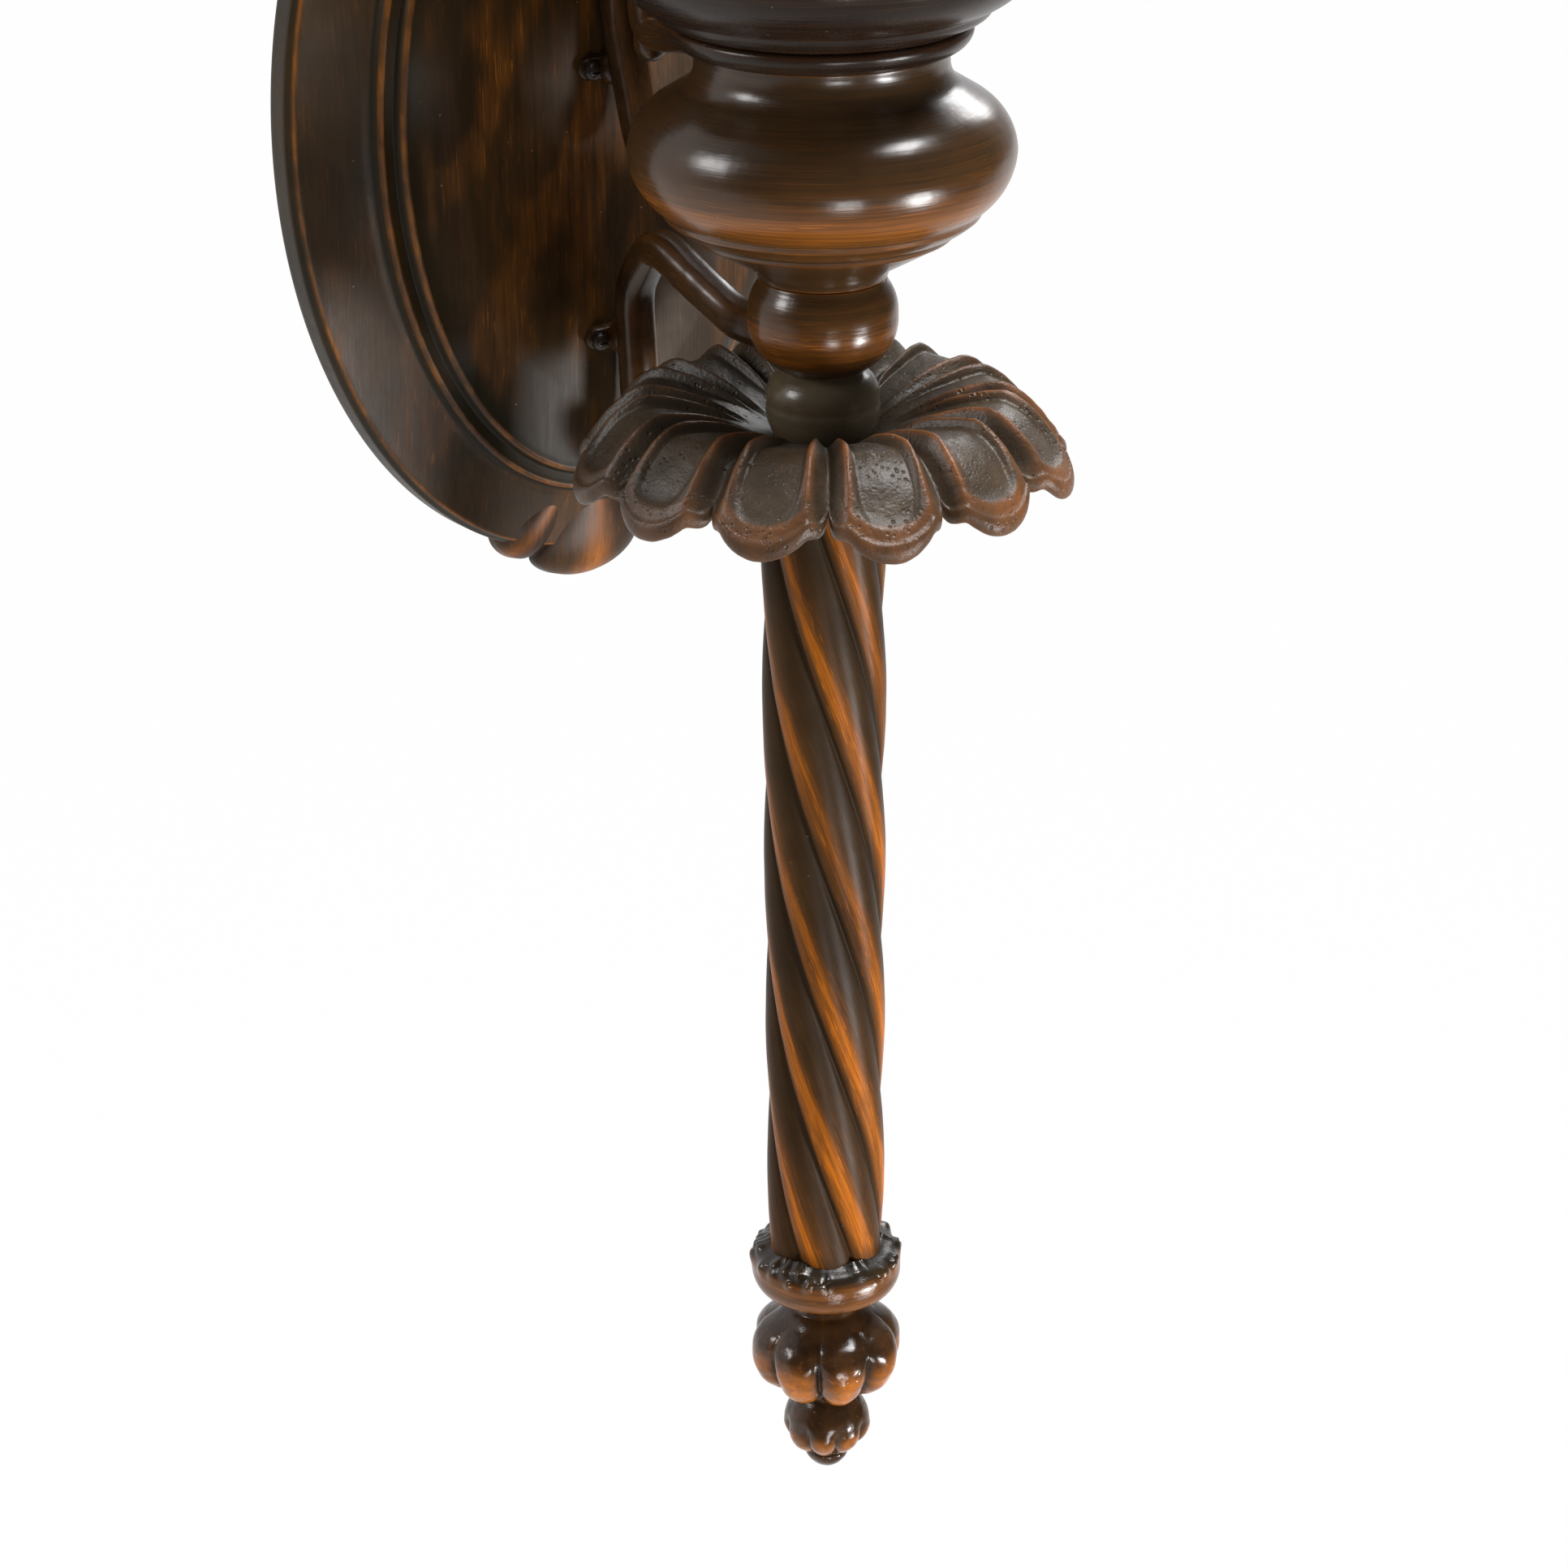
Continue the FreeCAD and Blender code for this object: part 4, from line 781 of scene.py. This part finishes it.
def ring_grid():
    """Ring at the shaft's foot: a turned ring whose upper edge carries irregular soldered lumps.

    Each lump is a bell exp(-(d/w)^2) about its own place (angle, height), added along the normal.
    """
    outline = [(BORE, FINIAL_TOP), (21.0, FINIAL_TOP), (24.8, -395.2, 0.7), (26.1, -389.5, 0.5),
               (25.0, -384.5, 0.4), (22.4, -381.4, 0.5), (19.4, -379.6, -0.2), (16.8, -379.4),
               (16.8, -386.0), (BORE, -386.0)]
    grid, flow, masks = lathe(outline, 120, 300, edge=(0.25, 0.8))
    turn = np.arctan2(grid[..., 1] - AXIS_Y, grid[..., 0])
    height = grid[..., 2]
    radius = np.hypot(grid[..., 0], grid[..., 1] - AXIS_Y)
    draw = np.random.default_rng(12)
    lift = np.zeros_like(height)
    size = sizes().lump_height * 1000
    for _ in range(64):
        place = draw.uniform(-math.pi, math.pi)
        level = draw.uniform(-386.0, -379.5)
        wide = draw.uniform(1.0, 2.9)
        gap = (turn - place + math.pi) % FULL - math.pi
        bell = np.exp(-((gap * 24 / wide) ** 2 + ((height - level) / wide) ** 2))
        lift = np.maximum(lift, bell * draw.uniform(0.4, 1.0))
    lift *= size * (radius > 19.0)
    outward = np.where(radius > 22.5, 1.0, 0.35)
    grid[..., 0] += np.cos(turn) * lift * outward
    grid[..., 1] += np.sin(turn) * lift * outward
    grid[..., 2] += lift * 0.75 * (height > -390)
    masks["ridge"] = masks["ridge"] * 0.3
    # Painted shade on the ring's top between the lumps, where the shaft meets it.
    masks["hollow"] = step_up(height, -386.0, -381.0) * (lift < 0.35 * size) * 0.9
    masks["rub"] = 0.75 * (1 - step_up(height, -387.0, -383.5)) * (radius > 15)
    return grid, flow, masks


# Operators


def lathe_piece(name, material, outline, rub, node, count, around):
    """Turn an outline into a finished piece. Its rub mask is a number or a function of the height."""
    grid, flow, masks = lathe(outline, count, around)
    masks["rub"] = rub(grid[..., 2]) if callable(rub) else rub
    make_piece(name, material, grid, flow, masks, slot="bronzed_turning", replaces=(node,))


class OBJECT_OT_finish_groups(bpy.types.Operator):
    """Make the node groups that the finishes share"""

    bl_idname = "wall_light.finish_groups"
    bl_label = "Finish groups"

    def execute(self, context):
        rubbed_paint_group()
        cast_pitting_group()
        return {"FINISHED"}


class OBJECT_OT_wall_plate(bpy.types.Operator):
    """Make the oval plate and the fluted shell at its foot"""

    bl_idname = "wall_light.wall_plate"
    bl_label = "Wall plate"

    def execute(self, context):
        paint = painted("plate_paint", PLATE_STROKE, patch=22.0, edge=0.75, brush=0.62, specks=0.5,
                        gloss=0.42, relief=0.0003, specular=0.24, dark=(0.013, 0.0088, 0.0032),
                        brown=(0.032, 0.0165, 0.0038), amber=(0.34, 0.105, 0.007))
        oval_plate("plate_oval", paint)
        shell_paint = painted("shell_paint", PLATE_STROKE, patch=26.0, edge=0.9, brush=0.5, specks=0.2,
                              gloss=0.42, specular=0.22)
        shell_foot("plate_shell", shell_paint)
        return {"FINISHED"}


class OBJECT_OT_scroll_arms(bpy.types.Operator):
    """Make the upper and lower scroll arms, with their buds and feet"""

    bl_idname = "wall_light.scroll_arms"
    bl_label = "Scroll arms"

    def execute(self, context):
        paint = painted("arm_paint", ARM_STROKE, patch=40.0, edge=0.5, brush=0.35, specks=0.4, gloss=0.24)
        neck = AXIS_Y
        upper = [(neck + 35, 37), (neck + 58, 36), (neck + 89, 31), (neck + 90, 70), (neck + 104.8, 71),
                 (neck + 104.8, 33), (neck + 93, -8), (neck + 80, -16)]
        lower = [(neck + 20, -54), (neck + 44, -55), (neck + 88, -38.5), (neck + 101.5, -57),
                 (neck + 97, -126), (neck + 82, -126), (neck + 82, -112)]
        tube("upper_arm_bar", paint, upper, 6.4, ("upper_scroll_arm",))
        tube("lower_arm_bar", paint, lower, 6.4, ("lower_scroll_arm",))
        for name, route, radius in (
                ("upper_arm_bud", [(neck + 89, 34), (neck + 88, 21.5)], 5.6),
                ("lower_arm_bud", [(neck + 95, -84), (neck + 94, -98)], 5.0),
                ("upper_arm_stem", [(neck + 104, 16), (neck + 114, 16)], 6.0),
                ("lower_arm_stem", [(neck + 101, -76), (neck + 114, -76)], 6.0)):
            tube(name, paint, route, radius, count=40, soft=0.3, squareness=2.0)
        for name, height in (("upper_arm_ears", 16.0), ("lower_arm_ears", -76.0)):
            ear_plate(name, paint, height)
        return {"FINISHED"}


def ear_plate(name, material, height):
    """Foot with two ears on the plate.

    Half a flattened pillow: with polar angle a and share s from the middle to the edge, the edge is the
    capsule of half length 8.8 and radius 4.0, and the depth is 3.8 (1 - s^4)^0.5 in front of y = -26.5.
    """
    turn, along = full_turn(72), 24
    half, radius = 8.8, 4.0
    edge_x = half * np.sign(np.cos(turn)) * (np.abs(np.cos(turn)) > 0.02) + radius * np.cos(turn)
    edge_z = radius * np.sin(turn)
    share = np.concatenate([np.linspace(0, 1, along) ** 0.5, [1.0, 0.0]])
    depth = np.concatenate([3.8 * np.sqrt(1 - np.linspace(0, 1, along) ** 4), [-0.5, -0.5]]) + 26.5
    grid = stacked(edge_x[:, None] * share, -depth, height + edge_z[:, None] * share)
    make_piece(name, material, grid, grid, {"rub": 0.2}, wrap=(True, False))


class OBJECT_OT_cup_and_urn(bpy.types.Operator):
    """Make the cup, the bead under it and the urn"""

    bl_idname = "wall_light.cup_and_urn"
    bl_label = "Cup and urn"

    def execute(self, context):
        dark_paint = painted("cup_paint", TURNED_STROKE, patch=30.0, edge=0.25, brush=0.2, specks=0.3,
                             gloss=0.26, specular=0.26, dark=(0.006, 0.0055, 0.005),
                             brown=(0.011, 0.0095, 0.0075))
        urn_paint = painted("urn_paint", TURNED_STROKE, patch=30.0, edge=0.35, brush=0.9, specks=0.3,
                            gloss=0.22, dark=(0.024, 0.0150, 0.0070), brown=(0.038, 0.020, 0.008))
        top, base, low = CUP_TOP, CUP_BASE, URN_LOW
        lathe_piece("cup_turning", dark_paint, [
            (BORE, base), (44.0, base), (46.5, base + 1.6, 0.6), (48.6, base + 2.0),
            (52.6, base + 5.2, 0.7), (54.0, base + 6.6, -0.3), (68.0, base + 25.0, 3.2),
            (70.5, top - 8.0, -1.0), (75.0, top - 6.0, -0.8), (75.0, top - 1.0, 1.6), (70.0, top, 0.6),
            (66.5, top - 2.0), (66.5, top - 24.3), (55.0, top - 24.3), (47.0, base + 8.0, 2.5),
            (16.0, base + 5.0), (BORE, base + 5.0)], 0.3, "cup", 190, 240)
        lathe_piece("bead_turning", dark_paint, [
            (BORE, URN_TOP), (40.2, URN_TOP), (46.6, URN_TOP + 5.6, 1.5), (43.6, base, 0.9),
            (BORE, base)], 0.3, "neck_bead", 90, 220)
        lathe_piece("urn_turning", urn_paint, [
            (BORE, low), (20.3, low), (24.2, low + 5.0, -0.9), (40.3, low + 14.0),
            (41.6, low + 16.2, 0.7), (48.6, low + 20.2, 0.5), (49.9, low + 22.4, 0.5),
            (50.6, low + 23.2, -0.3), (60.3, low + 41.0, 2.4), (50.9, low + 56.4, 2.2),
            (44.0, low + 60.6), (39.3, low + 68.4, -1.4), (40.2, URN_TOP, -0.3), (BORE, URN_TOP)],
            lambda z: 0.08 + 0.75 * band(z, -1.0, 8.0) + 0.15 * band(z, -14, 4), "urn", 200, 256)
        return {"FINISHED"}


class OBJECT_OT_ball_knops(bpy.types.Operator):
    """Make the ball knop and the small ball under it"""

    bl_idname = "wall_light.ball_knops"
    bl_label = "Ball knops"

    def execute(self, context):
        ball_paint = painted("ball_paint", TURNED_STROKE, patch=34.0, edge=0.2, brush=1.0, specks=0.2,
                             gloss=0.21, dark=(0.024, 0.0150, 0.0070), brown=(0.040, 0.020, 0.007))
        # Painted light: the small ball's dark and brown are lighter than the ball's paint, making up for the
        # lamps that the ball and the collar block from it.
        small_painted_light = painted("small_ball_painted_light", TURNED_STROKE, patch=34.0, edge=0.25, brush=0.15,
                              specks=0.8, gloss=0.24, dark=(0.058, 0.045, 0.027),
                              brown=(0.090, 0.074, 0.046))
        low, top = BALL_LOW, URN_LOW
        lathe_piece("ball_turning", ball_paint, [
            (BORE, low), (13.0, low), (23.8, low + 17.7, 3.4), (20.6, top - 1.6, 1.0), (20.2, top),
            (BORE, top)], lambda z: 0.12 + 0.6 * band(z, -49.0, 7.0), "ball_knop", 130, 200)
        low, seat, top = SMALL_BALL_LOW, -84.0, BALL_LOW
        lathe_piece("small_ball_turning", small_painted_light, [
            (BORE, low), (13.4, low), (13.4, seat), (13.9, seat), (18.3, seat + 12.0, 1.2),
            (17.9, seat + 13.4), (18.1, seat + 15.4, 0.1), (12.9, top - 0.9, 1.5), (12.6, top),
            (BORE, top)], 0.35, "small_ball", 130, 180)
        return {"FINISHED"}


class OBJECT_OT_petal_collar(bpy.types.Operator):
    """Make the collar of drooping petals"""

    bl_idname = "wall_light.petal_collar"
    bl_label = "Petal collar"

    def execute(self, context):
        paint = painted("collar_paint", (220.0, 220.0, 120.0), patch=60.0, edge=0.85, brush=0.35,
                        specks=0.7, gloss=0.38, pitting=0.75, relief=0.00035, specular=0.30,
                        amber=colours().rust, dark=(0.026, 0.0185, 0.011), brown=(0.054, 0.040, 0.025))
        make_piece("collar_petals", paint, *petal_grid(), replaces=("petal_collar",))
        return {"FINISHED"}


class OBJECT_OT_twisted_shaft(bpy.types.Operator):
    """Make the twisted shaft and the ring at its foot"""

    bl_idname = "wall_light.twisted_shaft"
    bl_label = "Twisted shaft and ring"

    def execute(self, context):
        paint = painted("shaft_paint", SHAFT_STROKE, patch=26.0, edge=0.3, brush=1.25, specks=0.3,
                        gloss=0.36, specular=0.09, dark=(0.020, 0.012, 0.005),
                        brown=(0.052, 0.026, 0.009), amber=(0.46, 0.125, 0.004))
        make_piece("shaft_strands", paint, *shaft_grid(), replaces=("twisted_shaft",))
        ring_paint = painted("ring_paint", TURNED_STROKE, patch=60.0, edge=0.3, brush=0.8, specks=0.2,
                             gloss=0.22, pitting=0.25, brown=(0.05, 0.025, 0.008))
        make_piece("ring_casting", ring_paint, *ring_grid(), slot="bronzed_turning",
                   replaces=("shaft_ring",))
        return {"FINISHED"}


class OBJECT_OT_finial(bpy.types.Operator):
    """Make the lobed finial"""

    bl_idname = "wall_light.finial"
    bl_label = "Finial"

    def execute(self, context):
        paint = painted("finial_paint", (200.0, 200.0, 260.0), patch=70.0, edge=1.05, brush=0.4, specks=0.3,
                        gloss=0.18, pitting=0.3, brown=(0.045, 0.022, 0.009))
        make_piece("finial_lobes", paint, *finial_grid(), wrap=(True, False), replaces=("finial",))
        return {"FINISHED"}


def glass_material():
    """Frosted cased glass: faint clouds in colour and roughness, and a fine ripple."""
    material, tree, shader, place = new_material("shade_glass")
    clouds = spread(tree, noise(tree, place, 18.0, 5.0, 0.6), 0.3, 0.7)
    glass = colours().glass
    paler = [min(1, part * gain) for part, gain in zip(glass, (1.08, 1.10, 1.2))]
    fill_in(tree, shader, {
        "Base Color": blend_colour(tree, clouds, rgba(glass), rgba(paler)),
        "Roughness": spread(tree, noise(tree, place, 60.0, 3.0), 0.3, 0.7, 0.32, 0.5),
        "Normal": bumped(tree, noise(tree, place, 45.0, 3.0), 0.5, 0.0005),
        "Transmission Weight": 0.35, "IOR": 1.5, "Subsurface Weight": 0.2,
        "Subsurface Radius": (0.01, 0.009, 0.007)})
    return material


class OBJECT_OT_glass_shade(bpy.types.Operator):
    """Make the flared glass shade"""

    bl_idname = "wall_light.glass_shade"
    bl_label = "Glass shade and lamp"

    def execute(self, context):
        top, low, wall = SHADE_TOP, SHADE_LOW, SHADE_WALL
        grid, flow, masks = lathe([
            (48.0, low), (62.5, low), (64.0, CUP_TOP + 4.0, -0.6), (84.0, top - 62.0, 6.0),
            (98.0, top - 2.0, -2.6), (98.0 - wall, top, 0.8), (83.0 - wall, top - 62.0, 2.6),
            (64.0 - wall, CUP_TOP + 4.0, -6.0), (62.0 - wall, low + wall, 0.6), (48.0, low + wall)],
            180, 220)
        make_piece("shade_glass", glass_material(), grid, flow, masks, body="shade",
                   slot="frosted_glass", replaces=("glass_shade",))
        return {"FINISHED"}


def plain_material(name, base, paler, scale, rough, metal=0.0, transmission=0.0):
    """Small-part finish: two close tones in a noise, with the same noise in roughness and relief."""
    material, tree, shader, place = new_material(name)
    cloud = noise(tree, place, scale, 4.0, 0.6)
    fill_in(tree, shader, {
        "Base Color": blend_colour(tree, spread(tree, cloud, 0.3, 0.7), rgba(base), rgba(paler)),
        "Roughness": spread(tree, cloud, 0.3, 0.7, rough, rough + 0.14),
        "Normal": bumped(tree, noise(tree, place, scale * 6, 2.0), 0.6, 0.0001),
        "Metallic": metal, "Transmission Weight": transmission})
    return material


class OBJECT_OT_fittings(bpy.types.Operator):
    """Finish the fittings that keep their CAD shapes"""

    bl_idname = "wall_light.fittings"
    bl_label = "Fittings"

    def execute(self, context):
        steel = plain_material("zinc_steel", (0.50, 0.49, 0.46), (0.62, 0.60, 0.55), 120.0, 0.28, 1.0)
        dark = plain_material("dark_screw_paint", (0.010, 0.008, 0.007), (0.035, 0.020, 0.010), 180.0, 0.25)
        brass = plain_material("brass", (0.62, 0.42, 0.16), (0.72, 0.52, 0.24), 150.0, 0.25, 1.0)
        plastic = plain_material("holder_plastic", (0.70, 0.66, 0.58), (0.76, 0.72, 0.64), 200.0, 0.40)
        bulb = plain_material("bulb_glass", (0.85, 0.84, 0.80), (0.90, 0.89, 0.86), 60.0, 0.35,
                              transmission=0.4)
        for material, names in (
                (steel, ("mounting_strap", "plate_studs", "ground_screw", "centre_tube", "tube_washer",
                         "tube_nut")),
                (dark, ("acorn_nuts", "arm_screws")),
                (brass, ("lamp_cap",)), (plastic, ("lampholder",)), (bulb, ("lamp_bulb",))):
            for name in names:
                dress(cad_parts[name], material)
        return {"FINISHED"}


def softbox(name, azimuth, elevation, width, power):
    """Area lamp that looks at the torch from a direction, unseen by the camera itself."""
    a, e = math.radians(azimuth), math.radians(elevation)
    away = Vector((math.sin(a) * math.cos(e), -math.cos(a) * math.cos(e), math.sin(e)))
    lamp = bpy.data.lights.new(name, "AREA")
    lamp.shape = "SQUARE"
    lamp.size = width
    lamp.energy = power
    made = bpy.data.objects.new(name, lamp)
    made.location = Vector((0.0, AXIS_Y / 1000, 0.0)) + away * LAMP_DISTANCE
    made.rotation_euler = away.to_track_quat("Z", "Y").to_euler()
    made.visible_camera = False
    bpy.context.scene.collection.objects.link(made)


def ray_masks(tree):
    """Masks of the glossy and transmission rays, and of the camera's rays."""
    path = add_node(tree, "ShaderNodeLightPath")
    mirrored = maths(tree, "MAXIMUM", path.outputs["Is Glossy Ray"], path.outputs["Is Transmission Ray"])
    return mirrored, path.outputs["Is Camera Ray"]


def along_y(tree, output):
    """Y part of a Texture Coordinate output."""
    place = add_node(tree, "ShaderNodeTexCoord").outputs[output]
    return add_node(tree, "ShaderNodeSeparateXYZ", {0: place}).outputs["Y"]


def white_paper():
    """Floor paper: it shines white to the camera, darker behind to mirrors, and is matt to the rest."""
    paper = bpy.data.materials.new("floor_paper")
    paper.use_nodes = True
    tree = paper.node_tree
    tree.nodes.clear()
    mirrored, camera_ray = ray_masks(tree)
    near = spread(tree, along_y(tree, "Object"), -1.8, 0.2, 0.02, 1.0)
    glow = add_node(tree, "ShaderNodeEmission",
                    {"Color": blend_colour(tree, camera_ray, near, WHITE), "Strength": 1.0})
    diffuse = add_node(tree, "ShaderNodeBsdfDiffuse", {"Color": grey(0.8)})
    share = maths(tree, "MULTIPLY", maths(tree, "MAXIMUM", mirrored, camera_ray), 0.985)
    mix = add_node(tree, "ShaderNodeMixShader", {0: share, 1: diffuse.outputs[0], 2: glow.outputs[0]})
    add_node(tree, "ShaderNodeOutputMaterial", {0: mix.outputs[0]})
    return paper


def light_room():
    """World: white to the camera, and brighter behind than in front to mirrors and as fill light."""
    world = bpy.data.worlds.new("room")
    world.use_nodes = True
    tree = world.node_tree
    tree.nodes.clear()
    mirrored, camera_ray = ray_masks(tree)
    behind = spread(tree, along_y(tree, "Generated"), -0.1, 0.6)
    backdrop = blend_colour(tree, behind, grey(0.03), (0.85, 0.85, 0.87, 1))
    fill = blend_colour(tree, behind, grey(0.30), grey(0.62))
    room = blend_colour(tree, mirrored, fill, backdrop)
    shown = blend_colour(tree, camera_ray, room, WHITE)
    light = add_node(tree, "ShaderNodeBackground", {"Color": shown, "Strength": 1.0})
    add_node(tree, "ShaderNodeOutputWorld", {0: light.outputs[0]})
    return world


class OBJECT_OT_stage(bpy.types.Operator):
    """Make the floor, the lamps, the backdrop and the camera"""

    bl_idname = "wall_light.stage"
    bl_label = "Stage"

    def execute(self, context):
        scene = context.scene
        size, level = FLOOR_SIZE, FLOOR_LEVEL
        mesh = bpy.data.meshes.new("floor")
        mesh.from_pydata([(-size, -size, level), (size, -size, level), (size, size, level),
                          (-size, size, level)], [], [(0, 1, 2, 3)])
        floor = bpy.data.objects.new("floor", mesh)
        scene.collection.objects.link(floor)
        floor.data.materials.append(white_paper())
        scene.world = light_room()
        for lamp in LAMPS:
            softbox(*lamp)

        camera = bpy.data.cameras.new("camera")
        camera.sensor_width = 36.0
        camera.lens = CAMERA_LENS
        eye = bpy.data.objects.new("camera", camera)
        yaw, pitch, roll = (math.radians(value) for value in (CAMERA_YAW, CAMERA_PITCH, CAMERA_ROLL))
        forward = Vector((math.sin(yaw) * math.cos(pitch), math.cos(yaw) * math.cos(pitch),
                          -math.sin(pitch)))
        right = Vector((math.cos(yaw), -math.sin(yaw), 0.0))
        up = right.cross(forward)
        turned = Matrix.Rotation(roll, 3, forward)
        pose = Matrix((turned @ right, turned @ up, -forward)).transposed().to_4x4()
        pose.translation = Vector(CAMERA_PLACE)
        eye.matrix_world = pose
        scene.collection.objects.link(eye)
        scene.camera = eye
        scene.view_settings.view_transform = "Standard"
        return {"FINISHED"}


class VIEW3D_PT_wall_light(bpy.types.Panel):
    """Sidebar panel with the pieces in their order of making"""

    bl_label = "Torch Wall Light"
    bl_idname = "VIEW3D_PT_wall_light"
    bl_space_type = "VIEW_3D"
    bl_region_type = "UI"
    bl_category = "Wall Light"

    def draw(self, context):
        for group in (context.scene.wall_light_sizes, context.scene.wall_light_colours):
            for name in group.__annotations__:
                self.layout.prop(group, name)
        for operator in OPERATORS:
            self.layout.operator(operator.bl_idname)


OPERATORS = (
    OBJECT_OT_stage, OBJECT_OT_finish_groups, OBJECT_OT_wall_plate, OBJECT_OT_scroll_arms,
    OBJECT_OT_cup_and_urn, OBJECT_OT_ball_knops, OBJECT_OT_petal_collar, OBJECT_OT_twisted_shaft,
    OBJECT_OT_finial, OBJECT_OT_glass_shade, OBJECT_OT_fittings,
)
CLASSES = (WallLightSizes, WallLightColours, *OPERATORS, VIEW3D_PT_wall_light)


def register():
    """Add the classes and the scene's settings."""
    for item in CLASSES:
        bpy.utils.register_class(item)
    bpy.types.Scene.wall_light_sizes = bpy.props.PointerProperty(type=WallLightSizes)
    bpy.types.Scene.wall_light_colours = bpy.props.PointerProperty(type=WallLightColours)


def unregister():
    """Take the settings and the classes away."""
    del bpy.types.Scene.wall_light_colours
    del bpy.types.Scene.wall_light_sizes
    for item in reversed(CLASSES):
        bpy.utils.unregister_class(item)


def main():
    """Run every operator in order."""
    register()
    for operator in OPERATORS:
        group, name = operator.bl_idname.split(".")
        getattr(getattr(bpy.ops, group), name)()


if __name__ == "__main__":
    main()
